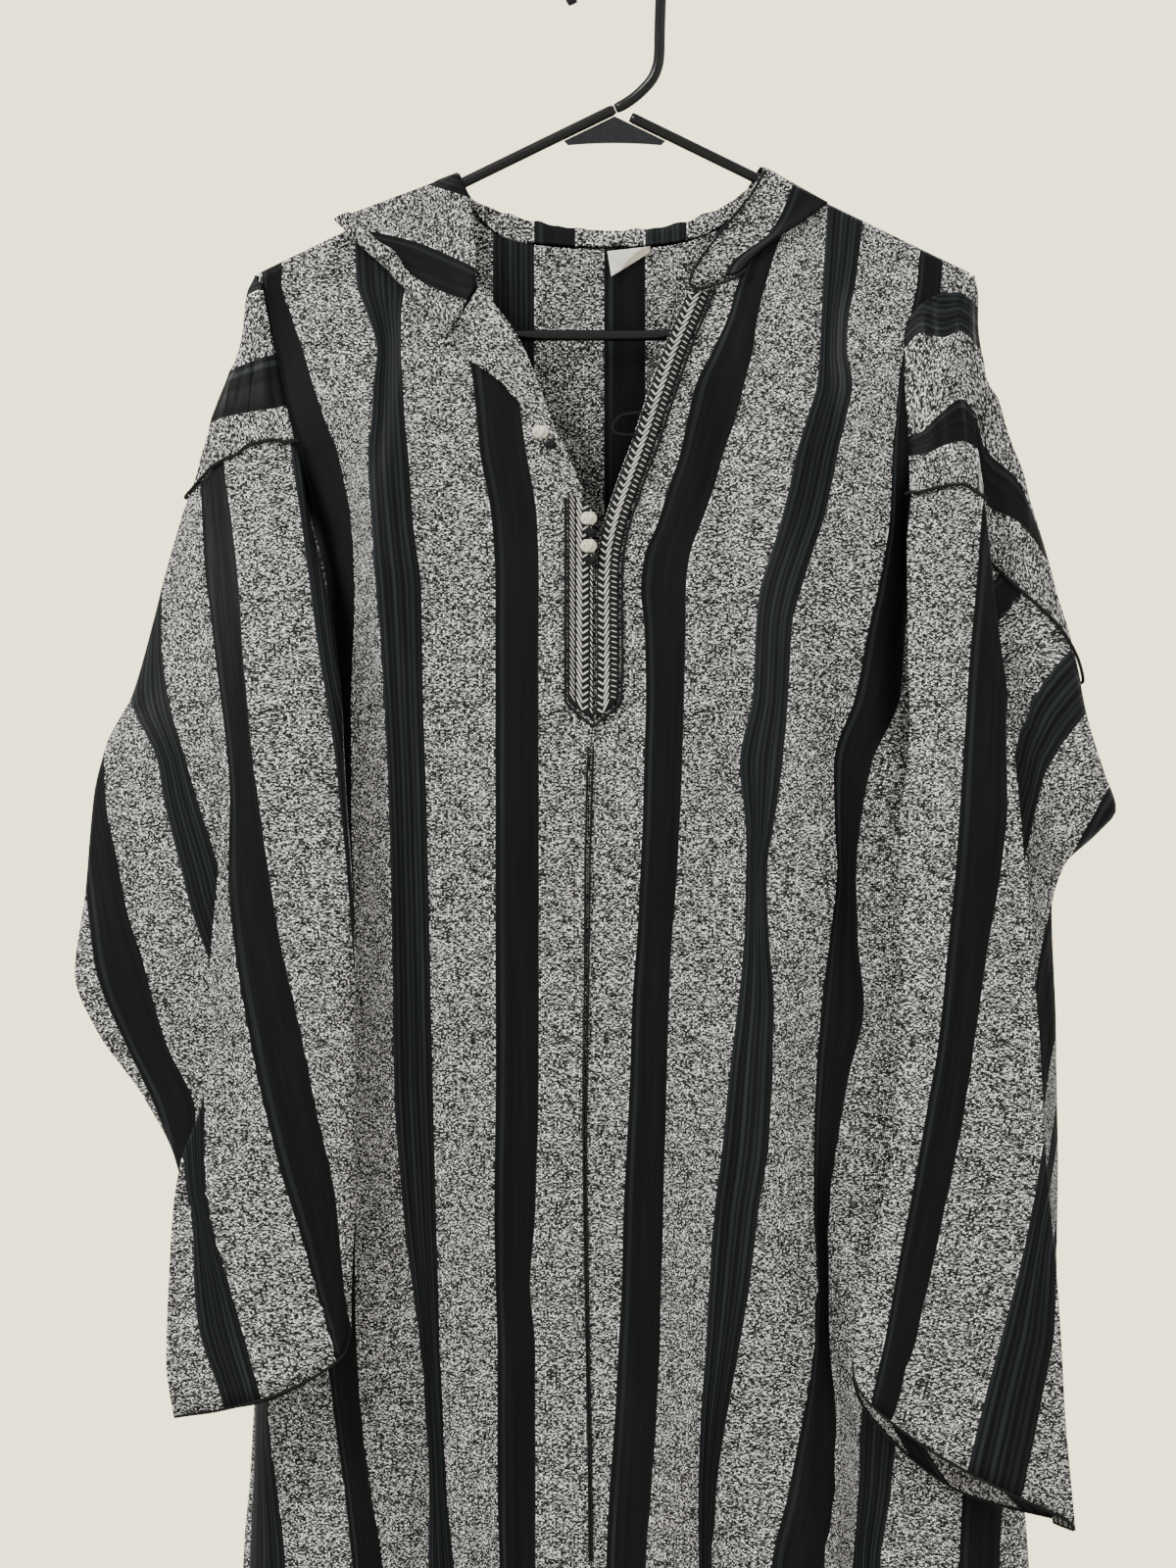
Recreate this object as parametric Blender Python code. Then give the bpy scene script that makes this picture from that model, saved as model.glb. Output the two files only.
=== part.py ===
"""Hooded striped robe hanging on a tubular hanger.

Sizes are in millimetres and are turned into metres when a mesh is made.
The origin is the inside of the hook's crown. +X is the viewer's right, +Z is up
and the front of the robe faces -Y. Names ending in _l and _r are the viewer's
left and right.
"""
import math
from collections import namedtuple

import bpy
import numpy as np
from mathutils import Vector
from mathutils.bvhtree import BVHTree

for old in list(bpy.data.objects):
    bpy.data.objects.remove(old, do_unlink=True)

MM = 0.001
WALL = 1.6
GAP = 0.3
TUBE = 3.25
HEM = -1525.0
APEX = -98.0
SLOPE = 0.487
SHOULDER_ROLL = TUBE + GAP + WALL / 2 + 0.25
HANGER_END = 207.0

Point = namedtuple("Point", "x z")
Fold = namedtuple("Fold", "name x_top z_top x_low z_low half_width height")
Depth = namedtuple("Depth", "z front back")
Side = namedtuple("Side", "z left right")
Ring = namedtuple("Ring", "z inner inner_y fold fold_y tuck tuck_y outer outer_y front_y back_y")
Seam = namedtuple("Seam", "column top armhole cuff")
Collar = namedtuple("Collar", "name crest edge")
Roll = namedtuple("Roll", "name seam crest edge")

# Paint of each finish: red, green, blue, roughness.
FINISHES = {
    "robe_cloth": (0.105, 0.108, 0.110, 0.85),
    "inner_cloth": (0.075, 0.078, 0.080, 0.85),
    "black_cord": (0.012, 0.012, 0.014, 0.70),
    "braid_cloth": (0.300, 0.300, 0.290, 0.80),
    "cream_cord": (0.780, 0.740, 0.640, 0.75),
    "label_cloth": (0.740, 0.710, 0.620, 0.80),
    "hanger_plastic": (0.012, 0.012, 0.013, 0.28),
}


def material(name):
    """Return the finish called name, made once."""
    found = bpy.data.materials.get(name)
    if found:
        return found
    red, green, blue, rough = FINISHES[name]
    made = bpy.data.materials.new(name)
    made.use_nodes = True
    shader = made.node_tree.nodes["Principled BSDF"]
    shader.inputs["Base Color"].default_value = (red, green, blue, 1.0)
    shader.inputs["Roughness"].default_value = rough
    made.diffuse_color = (red, green, blue, 1.0)
    return made


def add_object(name, points, faces, finish):
    """Make one named body from points in millimetres."""
    mesh = bpy.data.meshes.new(name)
    mesh.from_pydata([tuple(float(v) * MM for v in p) for p in points], [], faces)
    mesh.validate()
    mesh.update()
    made = bpy.data.objects.new(name, mesh)
    made.data.materials.append(material(finish))
    bpy.context.scene.collection.objects.link(made)
    return made


def lookup(heights, values, z):
    """Read a table smoothly at height z, never past its neighbours' values."""
    heights = np.asarray(heights, float)
    values = np.asarray(values, float)
    if heights[0] > heights[-1]:
        heights = heights[::-1]
        values = values[::-1]
    z = np.clip(np.asarray(z, float), heights[0], heights[-1])
    span = np.diff(heights)
    rise = np.diff(values) / span
    slope = np.empty(len(values))
    slope[0] = rise[0]
    slope[-1] = rise[-1]
    same = rise[:-1] * rise[1:] > 0
    mean = 2 * rise[:-1] * rise[1:] / np.where(same, rise[:-1] + rise[1:], 1.0)
    slope[1:-1] = np.where(same, mean, 0.0)
    i = np.clip(np.searchsorted(heights, z, side="right") - 1, 0, len(span) - 1)
    h = span[i]
    t = (z - heights[i]) / h
    return (
        (2 * t**3 - 3 * t**2 + 1) * values[i]
        + (t**3 - 2 * t**2 + t) * h * slope[i]
        + (3 * t**2 - 2 * t**3) * values[i + 1]
        + (t**3 - t**2) * h * slope[i + 1]
    )


def smooth_step(value, low, high):
    """Rise from 0 at low to 1 at high."""
    t = np.clip((np.asarray(value, float) - low) / (high - low), 0.0, 1.0)
    return t * t * (3 - 2 * t)


def spline(controls, per_span, closed=False):
    """Sample a smooth curve that passes through every control point."""
    controls = np.asarray(controls, float)
    n = len(controls)
    spans = n if closed else n - 1
    out = []
    for k in range(spans):
        if closed:
            p0, p1, p2, p3 = (controls[(k + j) % n] for j in (-1, 0, 1, 2))
        else:
            p1 = controls[k]
            p2 = controls[k + 1]
            p0 = controls[k - 1] if k > 0 else 2 * p1 - p2
            p3 = controls[k + 2] if k + 2 < n else 2 * p2 - p1
        steps = per_span[k] if isinstance(per_span, (list, tuple)) else per_span
        for step in range(steps):
            t = step / steps
            out.append(
                0.5 * (2 * p1 + (p2 - p0) * t + (2 * p0 - 5 * p1 + 4 * p2 - p3) * t * t
                       + (3 * p1 - p0 - 3 * p2 + p3) * t**3)
            )
    if not closed:
        out.append(controls[-1])
    return np.array(out)


def along(curve, fractions):
    """Points at the given fractions of a polyline's length."""
    curve = np.asarray(curve, float)
    steps = np.linalg.norm(np.diff(curve, axis=0), axis=1)
    run = np.concatenate([[0.0], np.cumsum(steps)])
    want = np.asarray(fractions, float) * run[-1]
    return np.stack([np.interp(want, run, curve[:, k]) for k in range(curve.shape[1])], axis=1)


def grid_normals(grid, closed):
    """Unit normals of a grid of points, pointing to the side that is right of its rows."""
    if closed:
        across = np.roll(grid, -1, axis=1) - np.roll(grid, 1, axis=1)
    else:
        across = np.gradient(grid, axis=1)
    down = np.gradient(grid, axis=0)
    normal = np.cross(across, down)
    length = np.linalg.norm(normal, axis=2, keepdims=True)
    return normal / np.maximum(length, 1e-9)


def seam_normals(grid):
    """Normals of a body panel, level where its edge meets the other panel."""
    normals = grid_normals(grid, False)
    at_seam = np.abs(grid[:, :, 1]) < GAP
    normals[at_seam, 1] = 0.0
    return normals / np.linalg.norm(normals, axis=2, keepdims=True)


def shell(name, grid, finish, wall=WALL, closed=False, normals=None):
    """Give a grid of points a wall, half on each side, and close its edges."""
    grid = np.asarray(grid, float)
    rows, cols = grid.shape[:2]
    if normals is None:
        normals = grid_normals(grid, closed)
    outer = (grid + normals * wall / 2).reshape(-1, 3)
    inner = (grid - normals * wall / 2).reshape(-1, 3)
    points = np.concatenate([outer, inner])
    count = rows * cols
    faces = []
    last = cols if closed else cols - 1

    def at(row, col, side):
        return side * count + row * cols + col % cols

    # Both sides of the wall are split along the same diagonal, so that they stay parallel.
    for r in range(rows - 1):
        for c in range(last):
            far = (c + 1) % cols
            falls = np.linalg.norm(grid[r, c] - grid[r + 1, far])
            climbs = np.linalg.norm(grid[r, far] - grid[r + 1, c])
            corners = [(r, c), (r, c + 1), (r + 1, c + 1), (r + 1, c)]
            if climbs < falls:
                corners = corners[1:] + corners[:1]
            for pick in ((0, 1, 2), (0, 2, 3)):
                faces.append(tuple(at(*corners[k], 0) for k in pick))
                faces.append(tuple(at(*corners[k], 1) for k in reversed(pick)))
    for c in range(last):
        faces.append((at(0, c, 1), at(0, c + 1, 1), at(0, c + 1, 0), at(0, c, 0)))
        faces.append((at(rows - 1, c, 0), at(rows - 1, c + 1, 0), at(rows - 1, c + 1, 1), at(rows - 1, c, 1)))
    if not closed:
        for r in range(rows - 1):
            faces.append((at(r, 0, 0), at(r + 1, 0, 0), at(r + 1, 0, 1), at(r, 0, 1)))
            faces.append((at(r, cols - 1, 1), at(r + 1, cols - 1, 1), at(r + 1, cols - 1, 0), at(r, cols - 1, 0)))
    return add_object(name, points, faces, finish)


def tube(name, path, radius, finish, sides=8, closed=False, flat=1.0):
    """Sweep a round section along a path and cap both ends."""
    path = np.asarray(path, float)
    n = len(path)
    if closed:
        ahead = np.roll(path, -1, axis=0) - np.roll(path, 1, axis=0)
    else:
        ahead = np.gradient(path, axis=0)
    ahead /= np.linalg.norm(ahead, axis=1, keepdims=True)
    first = np.array([0.0, -1.0, 0.0])
    if abs(ahead[0] @ first) > 0.9:
        first = np.array([0.0, 0.0, 1.0])
    points = []
    up = first
    for k in range(n):
        up = up - ahead[k] * (up @ ahead[k])
        up /= np.linalg.norm(up)
        side = np.cross(ahead[k], up)
        for s in range(sides):
            a = 2 * math.pi * s / sides
            points.append(path[k] + radius * (math.cos(a) * side + flat * math.sin(a) * up))
    faces = []
    for k in range(n if closed else n - 1):
        for s in range(sides):
            a = k * sides + s
            b = k * sides + (s + 1) % sides
            c = ((k + 1) % n) * sides + (s + 1) % sides
            d = ((k + 1) % n) * sides + s
            faces.append((d, c, b, a))
    if not closed:
        faces.append(tuple(range(sides)))
        faces.append(tuple((n - 1) * sides + s for s in reversed(range(sides))))
    return add_object(name, points, faces, finish)


def ball(name, centre, radii, finish, rings=8, sides=12):
    """Make a closed rounded knot with the given half sizes."""
    points = [(centre[0], centre[1], centre[2] + radii[2])]
    for r in range(1, rings):
        a = math.pi * r / rings
        for s in range(sides):
            b = 2 * math.pi * s / sides
            points.append((
                centre[0] + radii[0] * math.sin(a) * math.cos(b),
                centre[1] + radii[1] * math.sin(a) * math.sin(b),
                centre[2] + radii[2] * math.cos(a),
            ))
    points.append((centre[0], centre[1], centre[2] - radii[2]))
    faces = []
    for s in range(sides):
        faces.append((0, 1 + s, 1 + (s + 1) % sides))
        low = 1 + (rings - 2) * sides
        faces.append((len(points) - 1, low + (s + 1) % sides, low + s))
    for r in range(rings - 2):
        for s in range(sides):
            a = 1 + r * sides + s
            b = 1 + r * sides + (s + 1) % sides
            faces.append((a, a + sides, b + sides, b))
    return add_object(name, points, faces, finish)


class Surface:
    """The outside of bodies already made, met by looking from one side."""

    def __init__(self, objects, from_front=True):
        points = []
        faces = []
        for item in objects:
            start = len(points)
            points.extend(Vector(v.co) / MM for v in item.data.vertices)
            faces.extend(tuple(start + i for i in face.vertices) for face in item.data.polygons)
        self.tree = BVHTree.FromPolygons(points, faces)
        self.sign = -1.0 if from_front else 1.0

    def y_at(self, x, z, default):
        """Depth of the first cloth met at x, z, or the default past its edges."""
        start = Vector((x, self.sign * 400.0, z))
        hit = self.tree.ray_cast(start, Vector((0.0, -self.sign, 0.0)))
        return hit[0].y if hit[0] is not None else default

    def nearest(self, x, z, default):
        """Depth at x, z or, past an edge, at the closest place that has cloth."""
        for reach in (0.0, 2.0, 4.0, 7.0, 11.0):
            for angle in range(8):
                a = angle * math.pi / 4
                y = self.y_at(x + reach * math.cos(a), z + reach * math.sin(a), None)
                if y is not None:
                    return y
        return default


# Cloth depth in front of and behind the hanger's plane.
DEPTHS = [
    Depth(-150, 6, 6),
    Depth(-200, 13, 12),
    Depth(-260, 19, 17),
    Depth(-330, 24, 22),
    Depth(-450, 29, 26),
    Depth(-700, 31, 29),
    Depth(-950, 34, 32),
    Depth(HEM, 40, 38),
]

# Outer ends of the body cloth: fold at the dropped shoulder, then the side seam.
SIDES = [
    Side(-194, -207.0, 207.0),
    Side(-206, -206.2, 202.0),
    Side(-215, -206.0, 193.0),
    Side(-230, -202.5, 183.0),
    Side(-245, -199.0, 177.0),
    Side(-265, -195.0, 175.0),
    Side(-285, -187.0, 175.0),
    Side(-300, -182.4, 175.5),
    Side(-330, -177.6, 176.0),
    Side(-360, -173.5, 176.0),
    Side(-400, -172.0, 175.0),
    Side(-460, -176.0, 177.0),
    Side(-540, -187.0, 188.0),
    Side(-650, -200.0, 206.0),
    Side(-800, -207.0, 222.0),
    Side(-900, -212.0, 236.0),
    Side(-950, -216.0, 241.0),
    Side(-1200, -226.0, 254.0),
    Side(HEM, -236.0, 264.0),
]

# Inner edge of the left front: turned-back edge, slit, then centre seam.
LEFT_INNER = [
    Point(-92.0, -138), Point(-87.0, -150), Point(-85.0, -165), Point(-84.0, -182), Point(-83.0, -197), Point(-72.0, -212), Point(-60.0, -228), Point(-50.0, -248),
    Point(-38.0, -280), Point(-27.0, -305), Point(-17.0, -330), Point(-12.4, -350),
    Point(-11.6, -380), Point(-11.6, -440), Point(-14.0, -470), Point(-15.6, -520),
    Point(-17.0, -640), Point(-17.6, -700), Point(-16.5, -780), Point(-15.0, -860),
    Point(-14.0, -940), Point(-12.0, -1200), Point(-10.0, HEM),
]

# Inner edge of the right front: the open slit, then centre seam.
RIGHT_INNER = [
    Point(86.0, -135), Point(79.0, -149), Point(66.0, -170), Point(52.0, -188), Point(43.0, -204), Point(36.0, -220), Point(27.0, -242), Point(18.0, -268),
    Point(9.0, -295), Point(0.0, -320), Point(-7.0, -342), Point(-10.6, -362),
    Point(-11.2, -390), Point(-11.2, -440), Point(-13.6, -470), Point(-15.2, -520),
    Point(-16.6, -640), Point(-17.2, -700), Point(-16.1, -780), Point(-14.6, -860),
    Point(-13.6, -940), Point(-11.6, -1200), Point(-9.6, HEM),
]

BACK_NECK = [
    Point(-92.0, -144), Point(-84.0, -158), Point(-70.0, -170), Point(-45.0, -177), Point(-10.0, -179),
    Point(25.0, -178), Point(52.0, -172), Point(70.0, -160), Point(86.0, -141),
]

# Standing folds of the two fronts; a negative height is a hollow.
FRONT_FOLDS = [
    Fold("left shoulder ridge", -150, -200, -118, -420, 26, 6.0),
    Fold("left shoulder hollow", -128, -190, -140, -330, 13, -4.0),
    Fold("left hip ridge", -84, -560, -80, HEM, 30, 7.0),
    Fold("left hip hollow", -104, -760, -104, HEM, 20, -10.0),
    Fold("left side ridge", -150, -840, -156, HEM, 26, 8.0),
    Fold("left side hollow", -192, -860, -196, HEM, 16, -6.0),
    Fold("right shoulder hollow", 128, -170, 122, -290, 14, -5.0),
    Fold("right chest ridge", 104, -240, 106, -620, 30, 8.0),
    Fold("right chest hollow", 62, -230, 74, -560, 22, -4.0),
    Fold("right waist hollow", 84, -500, 80, -590, 14, -6.0),
    Fold("right waist ridge", 118, -480, 122, -600, 16, 5.0),
    Fold("right hip ridge", 92, -600, 92, -860, 26, 5.0),
    Fold("right edge hollow", 124, -690, 136, -860, 16, -8.0),
    Fold("right knee ridge", 22, -820, 26, HEM, 30, 7.0),
    Fold("right knee hollow", 62, -820, 66, HEM, 20, -10.0),
    Fold("right low ridge", 108, -860, 110, HEM, 24, 8.0),
    Fold("right low hollow", 140, -870, 146, HEM, 16, -9.0),
    Fold("right side ridge", 196, -860, 200, HEM, 26, 7.0),
]

BACK_FOLDS = [
    Fold("back left ridge", -120, -300, -140, HEM, 42, 8.0),
    Fold("back left hollow", -60, -420, -70, HEM, 36, -7.0),
    Fold("back middle ridge", 10, -380, 5, HEM, 44, 7.0),
    Fold("back right hollow", 76, -420, 84, HEM, 36, -8.0),
    Fold("back right ridge", 134, -300, 156, HEM, 42, 8.0),
]


def shoulder_z(x):
    """Height of the cloth's middle over the hanger arm."""
    return APEX - SLOPE * abs(x) + SHOULDER_ROLL


def fold_height(folds, x, z):
    """Add up how far the folds stand out at x, z."""
    total = 0.0
    for fold in folds:
        run = (fold.z_top - z) / (fold.z_top - fold.z_low)
        middle = fold.x_top + (fold.x_low - fold.x_top) * min(max(run, 0.0), 1.0)
        fade = smooth_step(z, fold.z_top, fold.z_top - 70.0)
        if fold.z_low > HEM + 1:
            fade *= 1.0 - smooth_step(-z, -fold.z_low - 60.0, -fold.z_low)
        across = abs(x - middle) / fold.half_width
        if across < 1.0:
            total += fold.height * fade * (0.5 + 0.5 * math.cos(math.pi * across))
    return total


def body_y(x, z, front, lift=0.0):
    """Depth of the body cloth's middle at x, z, or of what lies on it by lift."""
    heights = [row.z for row in DEPTHS]
    full = float(lookup(heights, [row.front if front else row.back for row in DEPTHS], z))
    below = max(shoulder_z(x) + lift - z, 0.0)
    radius = SHOULDER_ROLL + lift
    roll = radius * math.sqrt(1.0 - (1.0 - min(below / radius, 1.0)) ** 2)
    grown = roll + (full - SHOULDER_ROLL) * float(smooth_step(below, lift, 120.0 + lift))
    side_heights = [row.z for row in SIDES]
    edge = float(lookup(side_heights, [row.left if x < 0 else row.right for row in SIDES], z))
    from_side = max(abs(edge) - abs(x), 0.0)
    folds = FRONT_FOLDS if front else BACK_FOLDS
    calm = float(smooth_step(from_side, 4.0, 40.0)) * float(smooth_step(below, 4.0, 60.0))
    grown += fold_height(folds, x, z) * calm
    closing = float(smooth_step(-z, 292.0, 352.0))
    reach = max(full, 12.0)
    round_side = math.sqrt(max(1.0 - (1.0 - min(from_side / reach, 1.0)) ** 2, 0.0))
    depth = grown * ((1.0 - closing) + closing * round_side)
    depth = max(depth, GAP / 2)
    return -depth if front else depth


def fractions_to_grid(top_curve, low_curve, left_curve, right_curve, s_list, t_list):
    """Fill four edge curves with columns at s_list and rows at t_list."""
    top = along(top_curve, s_list)
    low = along(low_curve, s_list)
    left = along(left_curve, t_list)
    right = along(right_curve, t_list)
    s = np.asarray(s_list)[None, :, None]
    t = np.asarray(t_list)[:, None, None]
    mixed = (1 - t) * top[None] + t * low[None] + (1 - s) * left[:, None] + s * right[:, None]
    corners = (
        (1 - s) * (1 - t) * top[0] + s * (1 - t) * top[-1] + (1 - s) * t * low[0] + s * t * low[-1]
    )
    return mixed - corners


ROWS = [
    0.0, 0.0006, 0.0018, 0.0042, 0.011, 0.026, 0.050, 0.080, 0.115, 0.150, 0.190,
    0.235, 0.285, 0.340, 0.400, 0.460, 0.520, 0.600, 0.720, 0.860, 1.0,
]
COLUMNS = [
    0.0, 0.06, 0.13, 0.20, 0.27, 0.34, 0.41, 0.48, 0.55, 0.62,
    0.69, 0.76, 0.83, 0.89, 0.94, 0.975, 0.993, 1.0,
]


def side_curve(left):
    """The body's outer edge from the hanger's end to the hem."""
    rows = [(row.left if left else row.right, row.z) for row in SIDES]
    return spline(rows, 4)


def inner_curve(left):
    """The front's inner edge from the neck's side to the hem."""
    points = [tuple(p) for p in (LEFT_INNER if left else RIGHT_INNER)]
    points[0] = (points[0][0], shoulder_z(points[0][0]))
    return spline(points, 4)


def build_front(left):
    """Make one half of the front from its neck and slit edge to the side seam."""
    sign = -1.0 if left else 1.0
    inner = inner_curve(left)
    outer = side_curve(left)
    top = np.array([(sign * x, shoulder_z(x)) for x in np.linspace(abs(inner[0][0]), HANGER_END, 12)])
    low = np.array([inner[-1], outer[-1]])
    flat = fractions_to_grid(top, low, inner, outer, COLUMNS, ROWS)
    grid = np.empty(flat.shape[:2] + (3,))
    for r in range(flat.shape[0]):
        for c in range(flat.shape[1]):
            x, z = flat[r, c]
            z = min(z, shoulder_z(x))
            grid[r, c] = (x, body_y(x, z, True), z)
    if left:
        grid = grid[:, ::-1]
    return shell("front_l" if left else "front_r", grid, "robe_cloth", normals=seam_normals(grid))


def build_back():
    """Make the back from shoulder to shoulder and neck to hem."""
    left_arm = [(x, shoulder_z(x)) for x in np.linspace(-HANGER_END, -96.0, 12)]
    right_arm = [(x, shoulder_z(x)) for x in np.linspace(90.0, HANGER_END, 12)]
    neck = [tuple(p) for p in BACK_NECK]
    neck[0] = (neck[0][0], shoulder_z(neck[0][0]))
    neck[-1] = (neck[-1][0], shoulder_z(neck[-1][0]))
    top = np.array(left_arm + list(spline(neck, 3)) + right_arm)
    left = side_curve(True)
    right = side_curve(False)
    low = np.array([left[-1], right[-1]])
    half = [v / 2 for v in COLUMNS]
    columns = [0.5 - v for v in reversed(half)] + [0.5 + v for v in half[1:]]
    columns = [c for k, c in enumerate(columns) if k % 2 == 0 or k < 4 or k > len(columns) - 5]
    steps = np.linalg.norm(np.diff(top, axis=0), axis=1)
    run = np.concatenate([[0.0], np.cumsum(steps)]) / steps.sum()
    length = steps.sum()
    for corner, turn in ((12, 1.0), (len(top) - 13, -1.0)):
        nearest = int(np.argmin(np.abs(np.array(columns) - run[corner])))
        columns[nearest] = float(run[corner])
        columns += [float(run[corner] + turn * reach / length) for reach in (1.2, 3.2, 6.5)]
    columns = sorted(columns)
    flat = fractions_to_grid(top, low, left, right, columns, ROWS)
    grid = np.empty(flat.shape[:2] + (3,))
    for r in range(flat.shape[0]):
        for c in range(flat.shape[1]):
            x, z = flat[r, c]
            z = min(z, shoulder_z(x))
            grid[r, c] = (x, body_y(x, z, False), z)
    grid = grid[:, ::-1]
    return shell("back", grid, "robe_cloth", normals=seam_normals(grid))


# Sections of the arm tubes, from the hanger's end down to the cuff.
RINGS_L = [
    Ring(-196, -208.4, -3.8, -208.6, -2.6, -209.0, -2.2, -210.0, 0.0, -3.0, 3.0),
    Ring(-204, -205.4, -9.2, -210.0, -6.4, -211.2, -4.8, -213.2, 0.0, -8.0, 7.6),
    Ring(-215, -203.4, -9.6, -210.5, -9.0, -212.8, -7.6, -214.8, -1.0, -11.5, 9.4),
    Ring(-230, -200.2, -10.8, -211.0, -13.0, -214.6, -11.0, -216.4, -1.5, -15.0, 12.0),
    Ring(-245, -196.6, -13.6, -213.0, -16.0, -218.0, -13.0, -220.6, -2.0, -19.0, 15.0),
    Ring(-265, -192.6, -18.0, -217.0, -20.0, -223.6, -16.0, -229.2, -3.0, -24.0, 18.0),
    Ring(-290, -186.6, -26.0, -221.0, -24.0, -229.0, -19.0, -237.2, -4.0, -29.0, 19.0),
    Ring(-310, -181.6, -30.0, -223.0, -28.0, -232.0, -23.0, -242.2, -5.0, -33.0, 13.0),
    Ring(-335, -177.0, -31.0, -225.0, -33.0, -235.0, -28.0, -250.7, -7.0, -39.0, 8.0),
    Ring(-365, -170.0, -38.0, -227.0, -40.0, -238.0, -35.0, -258.7, -11.0, -47.0, 2.0),
    Ring(-400, -162.5, -46.0, -228.0, -48.0, -240.0, -43.0, -267.2, -15.0, -55.0, -8.0),
    Ring(-440, -158.0, -51.0, -227.0, -56.0, -237.0, -51.0, -277.7, -21.0, -62.0, -18.0),
    Ring(-470, -156.5, -54.0, -223.5, -60.0, -226.0, -54.0, -292.7, -27.0, -66.0, -27.0),
    Ring(-500, -154.5, -56.0, -224.0, -63.0, -213.0, -55.5, -299.0, -31.0, -68.0, -34.0),
    Ring(-550, -151.5, -58.0, -227.0, -66.0, -205.0, -57.5, -302.4, -35.0, -71.0, -40.0),
    Ring(-600, -149.8, -60.0, -230.0, -69.0, -205.0, -60.0, -308.5, -38.0, -74.0, -44.0),
    Ring(-632, -149.5, -61.0, -231.2, -71.0, -208.0, -62.0, -297.0, -41.0, -75.0, -47.0),
    Ring(-670, -149.5, -62.0, -234.0, -73.0, -212.0, -64.0, -270.6, -46.0, -77.0, -48.0),
    Ring(-706, -149.0, -63.0, -246.0, -74.0, -224.0, -65.5, -252.0, -53.0, -78.0, -49.0),
    Ring(-735, -149.5, -63.5, -250.8, -74.0, -229.0, -66.0, -246.0, -56.0, -79.0, -49.5),
    Ring(-790, -151.5, -64.0, -254.2, -75.0, -233.0, -67.0, -249.0, -57.0, -80.0, -50.0),
    Ring(-820, -151.5, -64.5, -255.0, -75.0, -235.0, -67.0, -249.0, -57.0, -81.0, -50.0),
    Ring(-856, -151.0, -65.0, -250.0, -75.0, -235.0, -67.0, -244.0, -57.0, -81.0, -50.0),
]
RINGS_R = [
    Ring(-196, 208.4, -6.4, 208.6, -4.4, 209.0, -3.2, 210.0, 0.0, -6.6, 3.0),
    Ring(-204, 196.0, -10.2, 207.0, -7.6, 208.0, -5.0, 210.8, 0.0, -9.4, 7.6),
    Ring(-212, 180.0, -10.4, 206.0, -10.6, 207.0, -8.6, 211.0, -0.5, -12.5, 9.0),
    Ring(-222, 171.4, -11.4, 205.0, -14.0, 207.0, -11.0, 211.0, -1.0, -16.0, 10.6),
    Ring(-240, 168.8, -14.6, 205.0, -19.0, 207.5, -14.5, 212.4, -2.0, -22.0, 14.4),
    Ring(-262, 169.0, -20.0, 206.0, -25.0, 206.0, -18.0, 219.8, -3.0, -28.5, 18.0),
    Ring(-290, 170.6, -25.4, 208.5, -30.0, 205.0, -22.0, 229.8, -4.0, -33.5, 19.0),
    Ring(-318, 171.0, -30.0, 211.5, -34.5, 204.0, -26.5, 239.2, -5.0, -38.0, 13.0),
    Ring(-345, 169.5, -36.0, 214.0, -39.5, 204.0, -31.5, 246.7, -8.0, -44.0, 7.0),
    Ring(-380, 169.3, -42.0, 217.0, -46.5, 206.0, -38.5, 256.2, -13.0, -51.5, 2.0),
    Ring(-420, 169.3, -48.0, 221.0, -53.0, 209.0, -45.0, 266.7, -19.0, -58.0, -6.0),
    Ring(-455, 169.6, -52.0, 225.5, -58.0, 213.0, -50.0, 273.7, -24.0, -63.0, -15.0),
    Ring(-485, 168.0, -55.0, 228.5, -61.5, 216.0, -53.5, 282.2, -29.0, -67.0, -24.0),
    Ring(-506, 165.0, -57.0, 230.2, -63.5, 218.0, -55.5, 288.4, -32.0, -69.0, -31.0),
    Ring(-520, 164.2, -58.0, 231.4, -65.0, 220.0, -57.0, 277.0, -35.0, -70.0, -35.0),
    Ring(-538, 163.8, -59.0, 232.8, -66.0, 221.0, -58.0, 258.0, -39.0, -71.0, -39.0),
    Ring(-565, 163.8, -60.0, 236.4, -68.0, 225.0, -60.0, 250.4, -42.0, -73.0, -43.0),
    Ring(-620, 163.6, -61.5, 240.0, -70.0, 229.0, -62.0, 252.6, -45.0, -75.0, -47.0),
    Ring(-690, 159.6, -63.0, 244.0, -72.0, 233.0, -64.0, 253.4, -47.0, -77.0, -48.5),
    Ring(-750, 150.0, -64.0, 249.0, -73.5, 238.0, -65.5, 252.6, -49.0, -79.0, -49.5),
    Ring(-800, 138.8, -65.0, 252.6, -74.5, 242.0, -66.5, 251.4, -52.0, -81.0, -50.0),
    Ring(-850, 134.0, -66.0, 255.4, -75.5, 245.0, -67.5, 252.4, -55.0, -83.0, -50.5),
    Ring(-918, 130.0, -67.0, 261.4, -76.5, 251.0, -68.5, 256.4, -57.0, -85.0, -51.0),
]

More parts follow.
